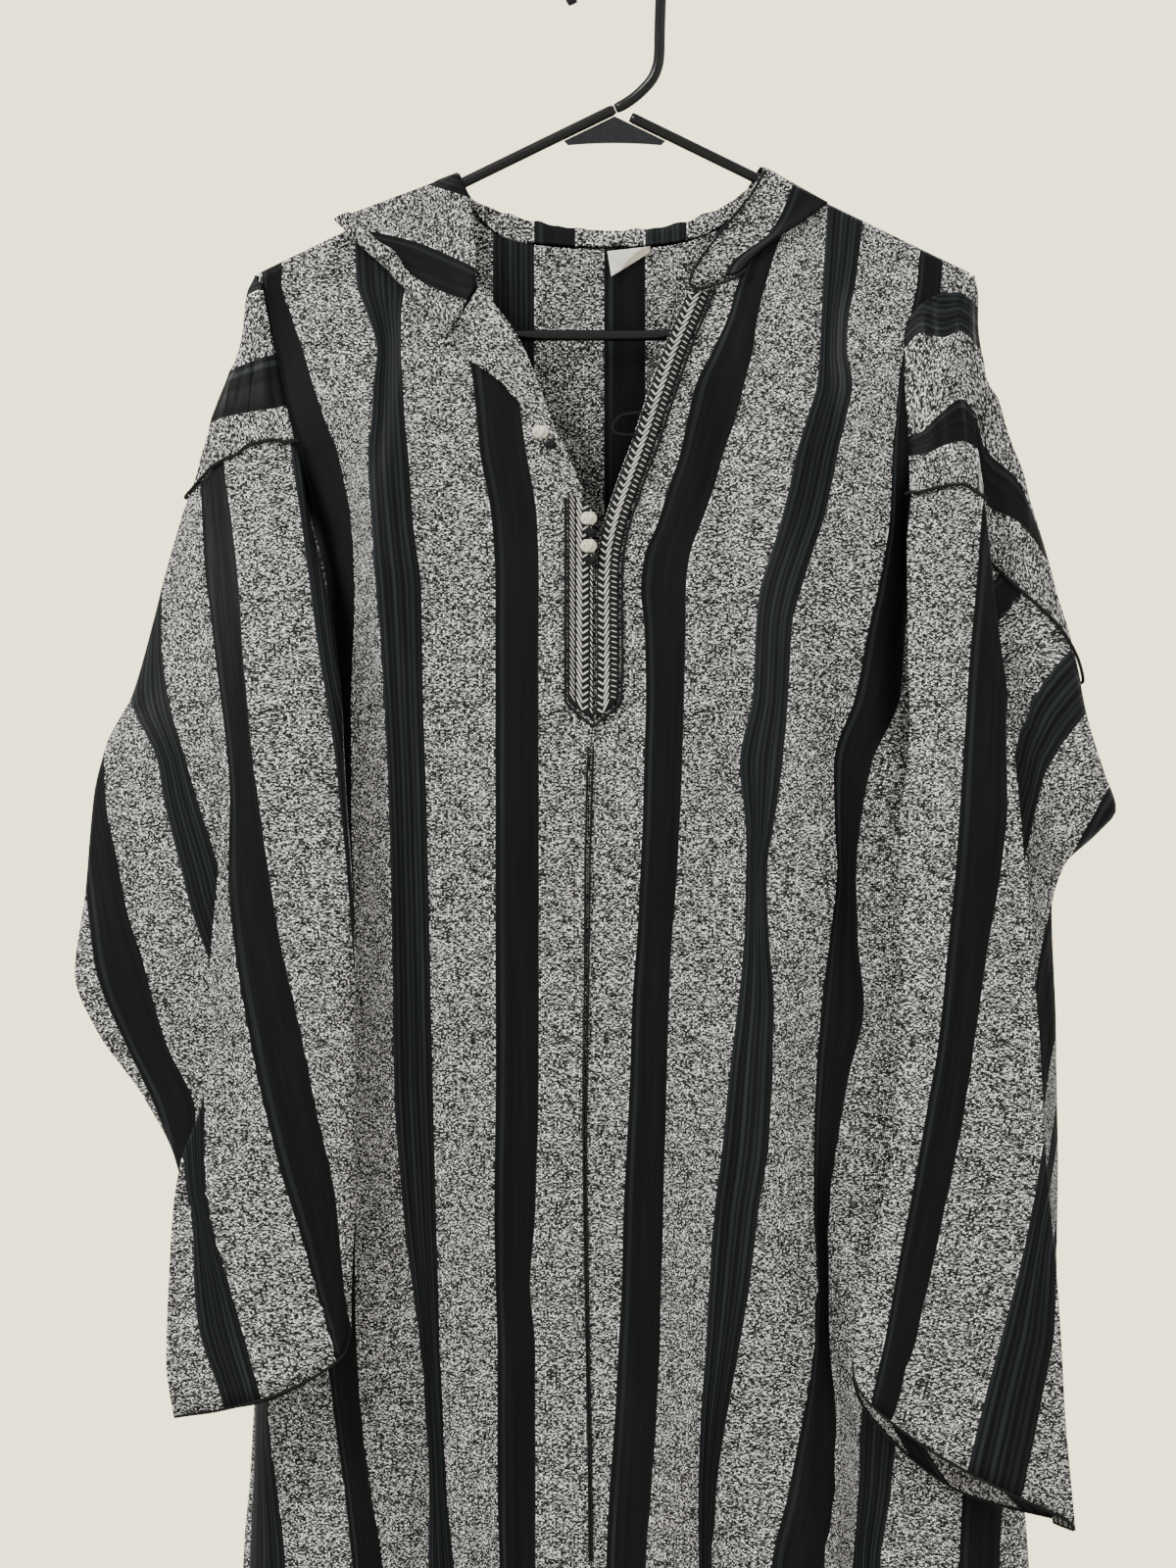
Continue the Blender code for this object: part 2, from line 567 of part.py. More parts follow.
# Heights of each column's upper edge, armhole seam and cuff edge.
SEAMS_L = [
    Seam("inner", -199.6, -294.0, -800.0),
    Seam("inner_front", -199.0, -294.0, -818.0),
    Seam("front_a", -198.4, -293.0, -836.0),
    Seam("front_b", -197.4, -296.0, -846.0),
    Seam("fold_front", -196.8, -300.0, -850.0),
    Seam("fold", -196.5, -303.0, -851.0),
    Seam("fold_back", -196.3, -305.0, -850.0),
    Seam("tuck", -196.0, -308.0, -849.0),
    Seam("tuck_back", -195.7, -311.0, -849.0),
    Seam("outer_front", -195.2, -317.0, -850.0),
    Seam("outer", -195.0, -325.0, -851.0),
    Seam("outer_back", -195.4, -322.0, -850.0),
    Seam("back_mid", -197.0, -308.0, -844.0),
    Seam("back_inner", -199.0, -297.0, -822.0),
]
SEAMS_R = [
    Seam("inner", -199.6, -324.0, -815.0),
    Seam("inner_front", -199.0, -323.6, -838.0),
    Seam("front_a", -198.4, -321.0, -868.0),
    Seam("front_b", -197.4, -319.0, -892.0),
    Seam("fold_front", -196.8, -322.0, -908.0),
    Seam("fold", -196.5, -327.0, -915.0),
    Seam("fold_back", -196.3, -334.0, -914.0),
    Seam("tuck", -196.0, -345.0, -912.0),
    Seam("tuck_back", -195.7, -356.0, -912.0),
    Seam("outer_front", -195.2, -396.0, -913.0),
    Seam("outer", -195.0, -430.0, -914.0),
    Seam("outer_back", -195.4, -424.0, -912.0),
    Seam("back_mid", -197.0, -372.0, -894.0),
    Seam("back_inner", -199.0, -330.0, -848.0),
]
SPANS = [2, 2, 2, 2, 2, 2, 2, 2, 2, 2, 2, 3, 3, 2]


def ring_controls(rings, z):
    """The fourteen control points of an arm section at height z."""
    heights = [row.z for row in rings]
    read = {
        name: float(lookup(heights, [getattr(row, name) for row in rings], z))
        for name in Ring._fields[1:]
    }
    xi, xf, xt, xo = read["inner"], read["fold"], read["tuck"], read["outer"]
    yi, yf, yt, yo = read["inner_y"], read["fold_y"], read["tuck_y"], read["outer_y"]
    out = 1.0 if xo > 0 else -1.0
    front = read["front_y"]
    back = read["back_y"]
    wide = abs(xf - xi)
    lip = min(6.0, 0.25 * wide)
    far = abs(xo - xt)
    edge = min(9.0, 0.3 * far + 0.8)
    back_wide = abs(xo - xi)
    rear = (xi + out * min(9.0, 0.2 * back_wide), back + (yi - back) * 0.42)
    open_back = float(smooth_step(z, -304.0, -272.0))
    if open_back > 0.0:
        ends = [abs(row.left if out < 0 else row.right) for row in SIDES]
        side = float(lookup([row.z for row in SIDES], ends, z))
        side = min(side, HANGER_END - 0.2)
        edge_y = body_y(out * side, z, False) if z < -202 else 3.4
        heights = [row.z for row in SIDES]
        lean = abs(float(lookup(heights, ends, z + 2.0)) - float(lookup(heights, ends, z - 2.0))) / 4.0
        rear_x = out * (side + (WALL / 2 + GAP + 1.1) * math.hypot(1.0, 1.6 * lean))
        rear = (rear[0] * (1 - open_back) + rear_x * open_back, rear[1] * (1 - open_back) + edge_y * open_back)
    return [
        (xi, yi),
        (xi + out * lip, yi + (front - yi) * 0.80),
        (xi + out * wide * 0.36, front),
        (xi + out * wide * 0.70, front * 0.72 + yf * 0.28),
        (xf - out * lip, yf * 0.80 + front * 0.20),
        (xf, yf),
        (xf + (xt - xf) * 0.5, yf + (yt - yf) * 0.62),
        (xt, yt),
        (xt + out * min(5.0, 0.2 * far), yt + (yo - yt) * 0.16),
        (xo - out * edge, yt + (yo - yt) * 0.55),
        (xo, yo),
        (xo - out * edge, yo + (back - yo) * 0.55),
        (xi + out * back_wide * 0.5, back),
        rear,
    ]


def arm_grid(rings, seams, upper, lower, row_fractions, first, last, trim):
    """Grid of an arm tube between two named seam lines, shortened by trim at seams."""
    names = [seam.column for seam in seams]
    count = len(names)
    tops = np.array([[getattr(seam, upper)] for seam in seams])
    lows = np.array([[getattr(seam, lower)] for seam in seams])
    total = sum(SPANS)
    ends = []
    for heights, cut in ((tops, trim[0]), (lows, trim[1])):
        line = spline(heights, SPANS, closed=True)[:, 0]
        if cut:
            place = np.array([spline(ring_controls(rings, z), SPANS, closed=True)[c] for c, z in enumerate(line)])
            step = np.linalg.norm(np.roll(place, -1, axis=0) - np.roll(place, 1, axis=0), axis=1)
            rise = np.abs(np.roll(line, -1) - np.roll(line, 1))
            cut = cut * np.hypot(1.0, rise / np.maximum(step, 1.0))
        ends.append((line, cut))
    top_z = ends[0][0] - ends[0][1]
    low_z = ends[1][0] + ends[1][1]
    start = sum(SPANS[:first])
    stop = sum(SPANS[:last]) if last < count else total
    columns = list(range(start, stop + (0 if last >= count else 1)))
    grid = np.empty((len(row_fractions), len(columns), 3))
    cache = {}
    for r, t in enumerate(row_fractions):
        for k, c in enumerate(columns):
            z = top_z[c % total] * (1 - t) + low_z[c % total] * t
            key = round(z, 2)
            if key not in cache:
                cache[key] = spline(ring_controls(rings, z), SPANS, closed=True)
            x, y = cache[key][c % total]
            grid[r, k] = (x, y, z)
    return grid


DROP_ROWS = [0.0, 0.04, 0.12, 0.25, 0.40, 0.60, 0.80, 1.0]
SLEEVE_ROWS = [
    0.0, 0.04, 0.10, 0.17, 0.24, 0.30, 0.345, 0.385, 0.43,
    0.50, 0.57, 0.63, 0.69, 0.76, 0.87, 1.0,
]


def build_arm(left):
    """Make the dropped shoulder, the sleeve and their cords on one side."""
    tag = "l" if left else "r"
    rings = RINGS_L if left else RINGS_R
    seams = SEAMS_L if left else SEAMS_R
    outward = 1.0 if left else -1.0
    drop = arm_grid(rings, seams, "top", "armhole", DROP_ROWS, 0, 13, (0.0, GAP / 2 + 0.2))
    sleeve = arm_grid(rings, seams, "armhole", "cuff", SLEEVE_ROWS, 0, 14, (GAP / 2 + 0.2, 0.0))
    sleeve_normals = grid_normals(sleeve, True)
    drop_normals = grid_normals(drop, False)
    drop_normals[-1] = sleeve_normals[0][: drop.shape[1]]
    made = [
        shell("drop_" + tag, drop, "robe_cloth", normals=drop_normals),
        shell("sleeve_" + tag, sleeve, "robe_cloth", closed=True, normals=sleeve_normals),
    ]
    radius = 1.1
    seam = sleeve[0] + outward * sleeve_normals[0] * (WALL / 2 + GAP + radius + 0.3)
    if left:
        tube("armhole_cord_l", seam[: sum(SPANS[:13])], radius, "black_cord", sides=5)
    else:
        tube("armhole_cord_r", seam[: sum(SPANS[:5]) + 1], radius, "black_cord", sides=5)
        tube("armhole_cord_back_r", seam[sum(SPANS[:9]): sum(SPANS[:13])], radius, "black_cord", sides=5)
    down = sleeve[-1] - sleeve[-2]
    tangent = np.roll(sleeve[-1], -1, axis=0) - np.roll(sleeve[-1], 1, axis=0)
    tangent /= np.linalg.norm(tangent, axis=1, keepdims=True)
    down -= tangent * np.sum(down * tangent, axis=1, keepdims=True)
    down /= np.linalg.norm(down, axis=1, keepdims=True)
    cuff = sleeve[-1] + down * (radius + GAP + 1.1)
    tube("cuff_cord_" + tag, cuff, radius, "black_cord", sides=5, closed=True)
    return made


def arm_line(x):
    """Height of the hanger arm's middle."""
    return APEX - SLOPE * abs(x)


def build_hanger():
    """Make the hook, arms, bar and web of the hanger."""
    crown = TUBE - 27.25
    hook = [
        (27.25 * math.cos(math.radians(a)), 0.0, crown + 27.25 * math.sin(math.radians(a)))
        for a in np.linspace(208.0, 0.0, 20)
    ]
    hook += [(26.8, 0.0, -36.0), (26.3, 0.0, -52.0), (26.0, 0.0, -66.0)]
    hook += [(25.0, 0.0, -73.0), (22.3, 0.0, -79.8), (17.6, 0.0, -85.6), (11.5, 0.0, -91.2), (5.0, 0.0, -95.56), (0.5, 0.0, -97.76)]
    tube("hanger_hook", hook, TUBE, "hanger_plastic", sides=10)
    bend = [(198.0, -194.43), (203.3, -198.8), (205.7, -206.0), (205.2, -217.0), (201.0, -225.2), (193.0, -229.7), (187.0, -229.9)]
    for tag, sign, start in (("l", -1.0, 0.0), ("r", 1.0, 9.4)):
        path = [(sign * start, 0.0, arm_line(start)), (sign * 100.0, 0.0, arm_line(100.0))]
        path += [(sign * x, 0.0, z) for x, z in bend]
        tube("hanger_arm_" + tag, path, TUBE, "hanger_plastic", sides=10)
    bar = [(x, 0.0, -229.9) for x in (-186.6, -60.0, 60.0, 186.6)]
    tube("hanger_bar", bar, TUBE, "hanger_plastic", sides=10)
    drop = TUBE * math.hypot(1.0, SLOPE) + GAP + 0.1
    outline = [(-30.0, arm_line(30.0) - drop), (0.0, arm_line(0.0) - drop), (30.0, arm_line(30.0) - drop)]
    outline += [(26.0, -119.2), (-26.0, -119.2)]
    points = [(x, y, z) for y in (-1.3, 1.3) for x, z in outline]
    n = len(outline)
    faces = [tuple(reversed(range(n))), tuple(range(n, 2 * n))]
    faces += [(k, (k + 1) % n, n + (k + 1) % n, n + k) for k in range(n)]
    add_object("hanger_web", points, faces, "hanger_plastic")


# The hood's front flaps: the neck edge they roll over and their free edge.
FLAP_L = [
    Collar("corner", (-81.0, -203.0), (-98.0, -232.0)),
    Collar("low", (-80.8, -192.0), (-108.0, -219.0)),
    Collar("middle", (-81.0, -178.0), (-121.0, -205.0)),
    Collar("high", (-82.4, -163.0), (-136.0, -190.0)),
    Collar("shoulder", (-85.4, -148.5), (-151.0, -176.0)),
    Collar("top", (-91.4, -135.4), (-163.5, -162.5)),
]
FLAP_R = [
    Collar("corner", (41.5, -203.5), (73.0, -194.0)),
    Collar("low", (45.5, -193.0), (79.0, -187.0)),
    Collar("middle", (54.0, -180.0), (88.0, -179.0)),
    Collar("high", (65.0, -166.5), (99.0, -171.0)),
    Collar("shoulder", (76.0, -152.0), (111.0, -163.5)),
    Collar("top", (87.5, -132.2), (124.0, -153.5)),
]
NECK_ROLL = [
    Roll("left shoulder", (-90.8, 3.7, -137.7), (-92.0, 3.2, -135.6), (-118.0, 12.0, -152.0)),
    Roll("left", (-82.0, 9.5, -156.0), (-84.0, 10.0, -150.0), (-104.0, 22.0, -170.0)),
    Roll("left back", (-64.0, 11.0, -172.0), (-64.0, 13.5, -159.5), (-78.0, 26.9, -184.0)),
    Roll("left middle", (-38.0, 11.5, -176.0), (-38.0, 14.5, -166.0), (-44.0, 30.1, -189.0)),
    Roll("middle", (-5.0, 11.5, -177.0), (-5.0, 15.0, -169.5), (-6.0, 30.0, -191.0)),
    Roll("right middle", (30.0, 11.5, -175.5), (30.0, 14.5, -167.0), (34.0, 29.0, -189.0)),
    Roll("right back", (56.0, 11.0, -168.5), (57.0, 13.5, -158.5), (66.0, 26.0, -183.0)),
    Roll("right", (74.0, 9.5, -154.5), (76.0, 10.0, -147.5), (90.0, 21.0, -167.0)),
    Roll("right shoulder", (83.0, 3.7, -134.4), (86.6, 3.2, -131.6), (106.0, 12.0, -146.0)),
]


FLAP_LIFT = 2.7


def build_flap(left):
    """Make the hood's edge that is folded out over one shoulder."""
    stations = FLAP_L if left else FLAP_R
    crest = spline([st.crest for st in stations], [2, 2, 2, 3, 6])
    edge = spline([st.edge for st in stations], [2, 2, 2, 3, 6])
    count = len(crest)
    grid = []
    for k in range(count):
        row = []
        for f in (0.0, 0.06, 0.2, 0.45, 0.72, 1.0):
            x, z = crest[k] * (1 - f) + edge[k] * f
            y = body_y(x, z, True, FLAP_LIFT + (1.4 if f == 1.0 else 0.0))
            y = min(y + (0.6 if f == 0.0 else 0.0), -GAP)
            row.append((x, y, z))
        grid.append(row)
    grid = np.array(grid)
    if left:
        grid = grid[:, ::-1]
    return shell("hood_flap_l" if left else "hood_flap_r", grid, "robe_cloth", normals=seam_normals(grid))


LAPEL_EDGE = [
    (-97.0, -233.5), (-85.0, -245.0), (-66.0, -259.0), (-48.0, -281.0), (-38.0, -300.0), (-29.0, -316.0),
]


def build_lapel(cloth):
    """Make the left front's upper corner, turned out so that its wrong side shows."""
    panel_edge = along(inner_curve(True), ROWS)
    edge = spline(LAPEL_EDGE, 3)
    grid = []
    for k, b in enumerate(edge):
        z = -202.0 - (322.0 - 202.0) * k / (len(edge) - 1)
        start = np.array([np.interp(-z, -panel_edge[:, 1], panel_edge[:, 0]) + 1.4, z])
        row = []
        for f in (0.0, 0.14, 0.4, 0.7, 1.0):
            x, z = start * (1 - f) + b * f
            y = cloth.nearest(x, z, -20.0) - (WALL / 2 + GAP + 0.35)
            row.append((x, y, z))
        grid.append(row)
    grid = np.array(grid)[:, ::-1]
    return shell("lapel_l", grid, "inner_cloth")


def strip(name, left_edge, right_edge, cloth, finish, thick=1.1, lift=0.25, across=3):
    """Make a flat band between two edge lines that lies on the cloth."""
    grid = []
    for a, b in zip(left_edge, right_edge):
        row = []
        for f in np.linspace(0.0, 1.0, across):
            x, z = np.asarray(a) * (1 - f) + np.asarray(b) * f
            row.append((x, cloth.nearest(x, z, -25.0) - (thick / 2 + GAP + lift), z))
        grid.append(row)
    return shell(name, np.array(grid), finish, wall=thick)


def build_trims(front_l, front_r, lapel):
    """Make the bands, cords, knots and label of the neck and slit."""
    cloth = Surface([front_l, front_r])
    heights = [-334, -345, -360, -380, -400, -420, -436]
    left_out = [(-27.0, z) for z in [-322] + heights] + [(-27.0, -444.0)]
    left_in = [(-12.4, z) for z in [-333, -340] + heights[1:]] + [(-12.6, -455.0)]
    braid_l = strip("braid_l", left_out, left_in, cloth, "braid_cloth")
    slit = [p for p in inner_curve(False) if -436.0 < p[1] < -205.0]
    right_in = [(x + 0.6, z) for x, z in slit] + [(-10.8, -438.0), (-11.2, -455.0)]
    right_out = []
    for x, z in right_in[:-1]:
        lean = float(smooth_step(z, -350.0, -300.0))
        right_out.append((x + 13.0 + 2.0 * lean, z + 4.0 * lean))
    right_out.append((1.6, -444.0))
    braid_r = strip("braid_r", right_in, right_out, cloth, "braid_cloth")

    path = [(-28.6, -326.0), (-28.6, -360.0), (-28.6, -400.0), (-28.6, -444.5), (-21.0, -451.6), (-12.4, -458.4), (-4.0, -451.6), (3.3, -444.5)]
    path += [(x + 1.8, z) for x, z in reversed(right_out[:-1])]
    points = [(x, cloth.nearest(x, z, -25.0) - 1.5, z) for x, z in path]
    tube("placket_cord", points, 0.95, "black_cord", sides=5)

    seam = [p for p in inner_curve(True)[::2] if -945.0 < p[1] < -463.0]
    left_side = [(x + 0.2 - 3.0 + 1.4 * min(1.0, (-463 - z) / 260), z) for x, z in seam]
    right_side = [(x + 0.2 + 3.0 - 1.4 * min(1.0, (-463 - z) / 260), z) for x, z in seam]
    strip("centre_cord", left_side, right_side, cloth, "black_cord", thick=1.2, lift=0.3)

    dressed = Surface([front_l, front_r, lapel, braid_l, braid_r])
    for number, (x, z) in enumerate(((-43.0, -288.0), (-15.0, -338.0), (-15.0, -354.0)), 1):
        y = min(dressed.nearest(x + dx, z + dz, -25.0) for dx in (-3, 0, 3) for dz in (-3, 0, 3))
        ball("button_%d" % number, (x, y - 4.2, z), (4.3, 3.7, 4.3), "cream_cord")
    for number, (x, z) in enumerate(((-37.0, -295.6), (-13.6, -346.2), (-13.6, -362.6)), 1):
        y = min(dressed.nearest(x + dx, z + dz, -25.0) for dx in (-3, 0, 3) for dz in (-2, 0, 2))
        ball("loop_knot_%d" % number, (x, y - 2.6, z), (3.6, 2.1, 2.6), "black_cord", rings=6, sides=8)

    loop = [(19.4, -276.0), (6.0, -277.5), (0.8, -280.6), (-1.2, -285.2), (1.8, -288.8), (15.0, -289.6)]
    points = [(x, dressed.nearest(max(x, 17.6), z, -26.0) - (0.8 + GAP + 0.1), z) for x, z in loop]
    tube("button_loop", points, 0.8, "black_cord", sides=5)

    neck = [(87.6, -134.6), (80.0, -148.0), (70.0, -160.5), (58.0, -175.6), (48.6, -188.4), (43.4, -200.8)]
    under = [(50.0, -204.0), (60.0, -201.5), (70.0, -197.6), (76.5, -192.4)]
    points = [(x, body_y(x, z, True, FLAP_LIFT + 2.9), z) for x, z in neck + under]
    tube("neck_cord_r", points, 1.1, "black_cord", sides=5)


def build_label(back):
    """Make the blank label at the back of the neck."""
    cloth = Surface([back])
    grid = []
    for f in (0.0, 0.5, 1.0):
        row = []
        for g in (0.0, 0.5, 1.0):
            x = -4.5 + 25.0 * g
            z = -181.5 + 1.0 * g - (12.5 - 3.0 * g) * f
            row.append((x, cloth.nearest(x, z, 9.0) - 0.75 - 0.6 * f, z))
        grid.append(row)
    shell("label", np.array(grid), "label_cloth", wall=0.6)


# The hanging part of the hood, seen from behind.
HoodRing = namedtuple("HoodRing", "z left right near far")
HOOD = [
    HoodRing(-188, -120, 110, 4.5, 24.0),
    HoodRing(-225, -134, 126, 4.5, 30.0),
    HoodRing(-260, -132, 125, 4.5, 32.0),
    HoodRing(-300, -116, 110, 4.5, 31.0),
    HoodRing(-345, -88, 84, 4.5, 28.0),
    HoodRing(-390, -58, 54, 5.0, 24.0),
    HoodRing(-425, -36, 31, 5.5, 19.0),
    HoodRing(-448, -20, 15, 6.5, 14.0),
]


def build_hood(back):
    """Make the pocket that hangs behind and the roll at the back of the neck."""
    cloth = Surface([back], from_front=False)
    rows = []
    heights = [ring.z for ring in HOOD]
    for z in (-187, -205, -228, -255, -285, -315, -345, -375, -402, -425, -440, -448):
        left = float(lookup(heights, [ring.left for ring in HOOD], z))
        right = float(lookup(heights, [ring.right for ring in HOOD], z))
        near = float(lookup(heights, [ring.near for ring in HOOD], z))
        far = float(lookup(heights, [ring.far for ring in HOOD], z))
        half = (right - left) / 2
        mid = (right + left) / 2
        row = []
        for step in range(20):
            a = 2 * math.pi * step / 20
            x = mid + half * math.copysign(abs(math.cos(a)) ** 0.8, math.cos(a))
            raised = 26.0 * (x / 120.0) ** 2 * max(0.0, 1.0 - (-188.0 - z) / 110.0)
            base = cloth.nearest(x, z + raised, 20.0)
            wave = 2.5 * math.cos(x * 0.055) * min(1.0, half / 90.0)
            f = 0.5 + 0.5 * math.copysign(abs(math.sin(a)) ** 0.6, math.sin(a))
            y = base + near + (far - near + wave) * f
            row.append((x, y, z + raised))
        rows.append(row)
    grid = np.array(rows)[:, ::-1]
    hood = shell("hood", grid, "robe_cloth", closed=True)
    seam = spline([st.seam for st in NECK_ROLL], 2)
    crest = spline([st.crest for st in NECK_ROLL], 2)
    edge = spline([st.edge for st in NECK_ROLL], 2)
    roll = []
    for a, b, c in zip(seam, crest, edge):
        roll.append(spline([a, b, b * 0.45 + c * 0.55 + np.array([0.0, 1.5, 2.5]), c], 2))
    roll = np.array(roll) + (0.0, 0.12, 0.14)
    shell("hood_neck", roll, "robe_cloth")
    return hood


def main():
    """Build every piece."""
    front_l = build_front(True)
    front_r = build_front(False)
    back = build_back()
    build_arm(True)
    build_arm(False)
    build_hanger()
    cloth = Surface([front_l, front_r])
    lapel = build_lapel(cloth)
    build_flap(True)
    build_flap(False)
    build_trims(front_l, front_r, lapel)
    build_label(back)
    build_hood(back)


main()
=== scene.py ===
"""Looks of a hooded striped robe that hangs on a tubular hanger.

Sizes are in millimetres and are turned into metres when a mesh is made. The origin
is the inside of the hook's crown, +X is the viewer's right, +Z is up and the front
faces -Y. Names ending in _l and _r are the viewer's left and right.
"""
import logging
import math
from dataclasses import dataclass, field
from enum import Enum
from typing import NamedTuple, Optional, Sequence

import bpy
import numpy as np
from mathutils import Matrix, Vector, noise
from mathutils.bvhtree import BVHTree


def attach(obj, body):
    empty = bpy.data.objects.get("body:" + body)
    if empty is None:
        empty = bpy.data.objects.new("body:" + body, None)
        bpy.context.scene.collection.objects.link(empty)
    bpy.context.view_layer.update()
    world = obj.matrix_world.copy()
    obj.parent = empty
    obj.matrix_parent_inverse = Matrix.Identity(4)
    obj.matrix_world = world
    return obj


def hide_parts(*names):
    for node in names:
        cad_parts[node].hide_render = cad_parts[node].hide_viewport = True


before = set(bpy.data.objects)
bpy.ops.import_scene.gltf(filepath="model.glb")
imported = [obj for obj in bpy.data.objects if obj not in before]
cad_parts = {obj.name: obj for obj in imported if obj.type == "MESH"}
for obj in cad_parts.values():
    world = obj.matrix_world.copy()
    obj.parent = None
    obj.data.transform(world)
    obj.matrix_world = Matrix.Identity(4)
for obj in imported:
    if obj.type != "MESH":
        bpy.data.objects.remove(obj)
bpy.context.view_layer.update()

LOG = logging.getLogger("robe")

MM = 0.001
WALL = 1.6
GAP = 0.3
TUBE = 3.25
HEM = -1525.0
APEX = -98.0
SLOPE = 0.487
SHOULDER_ROLL = TUBE + GAP + WALL / 2 + 0.25
HANGER_END = 207.0
FLAP_LIFT = 2.7

# The depth taken for a trim where there is no cloth under a point.
NO_CLOTH_Y = -25.0

# The cloth's repeat: one satin stripe and one slub stripe.
REPEAT = 65.0
SATIN = 24.0

Grid = np.ndarray
WEAVE_MAP = "Weave"


class Side(Enum):
    """The two sides of the robe as its viewer sees them."""

    LEFT = "l"
    RIGHT = "r"

    @property
    def sign(self) -> float:
        """-1 on the viewer's left and 1 on the right."""
        return -1.0 if self is Side.LEFT else 1.0


class Ply(Enum):
    """Ways that a cord is laid."""

    TWO = 2
    THREE = 3


class Point(NamedTuple):
    """A place on the front view."""

    x: float
    z: float


class Fold(NamedTuple):
    """A standing fold; a negative height is a hollow."""

    name: str
    x_top: float
    z_top: float
    x_low: float
    z_low: float
    half_width: float
    height: float


class Depth(NamedTuple):
    """How far the cloth stands before and behind the hanger at a height."""

    z: float
    front: float
    back: float


class Edge(NamedTuple):
    """The body's outer ends at a height."""

    z: float
    left: float
    right: float


class Ring(NamedTuple):
    """A section of an arm's tube at a height."""

    z: float
    inner: float
    inner_y: float
    fold: float
    fold_y: float
    tuck: float
    tuck_y: float
    outer: float
    outer_y: float
    front_y: float
    back_y: float


class Seam(NamedTuple):
    """Heights of the upper edge, armhole seam and cuff at one column of an arm."""

    column: str
    top: float
    armhole: float
    cuff: float


class Collar(NamedTuple):
    """A station of a hood flap: where it rolls over and where it ends."""

    name: str
    crest: tuple[float, float]
    edge: tuple[float, float]


class Roll(NamedTuple):
    """A station of the roll at the back of the neck."""

    name: str
    seam: tuple[float, float, float]
    crest: tuple[float, float, float]
    edge: tuple[float, float, float]


class HoodRing(NamedTuple):
    """A section of the hood's pocket at a height."""

    z: float
    left: float
    right: float
    near: float
    far: float


def lookup(heights: Sequence[float], values: Sequence[float], z: np.ndarray) -> np.ndarray:
    """Read a table smoothly, never past its neighbours' values.

    Args:
        heights: where the table's rows lie.
        values: one value for each row.
        z: where to read.

    Returns:
        The values read.
    """
    heights = np.asarray(heights, float)
    values = np.asarray(values, float)
    if heights[0] > heights[-1]:
        heights = heights[::-1]
        values = values[::-1]
    z = np.clip(np.asarray(z, float), heights[0], heights[-1])
    span = np.diff(heights)
    rise = np.diff(values) / span
    slope = np.empty(len(values))
    slope[0] = rise[0]
    slope[-1] = rise[-1]
    same = rise[:-1] * rise[1:] > 0
    mean = 2 * rise[:-1] * rise[1:] / np.where(same, rise[:-1] + rise[1:], 1.0)
    slope[1:-1] = np.where(same, mean, 0.0)
    i = np.clip(np.searchsorted(heights, z, side="right") - 1, 0, len(span) - 1)
    h = span[i]
    t = (z - heights[i]) / h
    return (
        (2 * t**3 - 3 * t**2 + 1) * values[i]
        + (t**3 - 2 * t**2 + t) * h * slope[i]
        + (3 * t**2 - 2 * t**3) * values[i + 1]
        + (t**3 - t**2) * h * slope[i + 1]
    )


def column(rows: Sequence[NamedTuple], name: str) -> list[float]:
    """One named column of a table."""
    return [getattr(row, name) for row in rows]


def smooth_step(value: np.ndarray, low: float, high: float) -> np.ndarray:
    """Rise from 0 at low to 1 at high."""
    t = np.clip((np.asarray(value, float) - low) / (high - low), 0.0, 1.0)
    return t * t * (3 - 2 * t)


def spline(controls: Sequence, per_span: int | Sequence[int], closed: bool = False) -> np.ndarray:
    """Sample a smooth curve through every control point.

    Args:
        controls: the points passed through.
        per_span: samples between two controls, or one number for each span.
        closed: whether the curve returns to its start.

    Returns:
        The samples in order.
    """
    controls = np.asarray(controls, float)
    n = len(controls)
    spans = n if closed else n - 1
    out = []
    for k in range(spans):
        if closed:
            p0, p1, p2, p3 = (controls[(k + j) % n] for j in (-1, 0, 1, 2))
        else:
            p1 = controls[k]
            p2 = controls[k + 1]
            p0 = controls[k - 1] if k > 0 else 2 * p1 - p2
            p3 = controls[k + 2] if k + 2 < n else 2 * p2 - p1
        steps = per_span[k] if isinstance(per_span, (list, tuple)) else per_span
        t = (np.arange(steps) / steps)[:, None]
        out.append(
            0.5 * (2 * p1 + (p2 - p0) * t + (2 * p0 - 5 * p1 + 4 * p2 - p3) * t * t
                   + (3 * p1 - p0 - 3 * p2 + p3) * t**3)
        )
    if not closed:
        out.append(controls[-1:])
    return np.concatenate([np.atleast_2d(part) for part in out])


def along(curve: np.ndarray, fractions: np.ndarray) -> np.ndarray:
    """Points at the given fractions of a polyline's length."""
    curve = np.asarray(curve, float)
    steps = np.linalg.norm(np.diff(curve, axis=0), axis=1)
    run = np.concatenate([[0.0], np.cumsum(steps)])
    want = np.asarray(fractions, float) * run[-1]
    return np.stack([np.interp(want, run, curve[:, k]) for k in range(curve.shape[1])], axis=1)


def evenly(curve: np.ndarray, step: float) -> np.ndarray:
    """The same polyline with points about one step apart."""
    length = np.linalg.norm(np.diff(np.asarray(curve, float), axis=0), axis=1).sum()
    return along(curve, np.linspace(0.0, 1.0, max(int(length / step), 2) + 1))


def refine(fractions: Sequence[float], times: int) -> np.ndarray:
    """Split every gap of a list of fractions into the same number of steps."""
    spots = np.arange((len(fractions) - 1) * times + 1) / times
    return np.interp(spots, np.arange(len(fractions)), fractions)


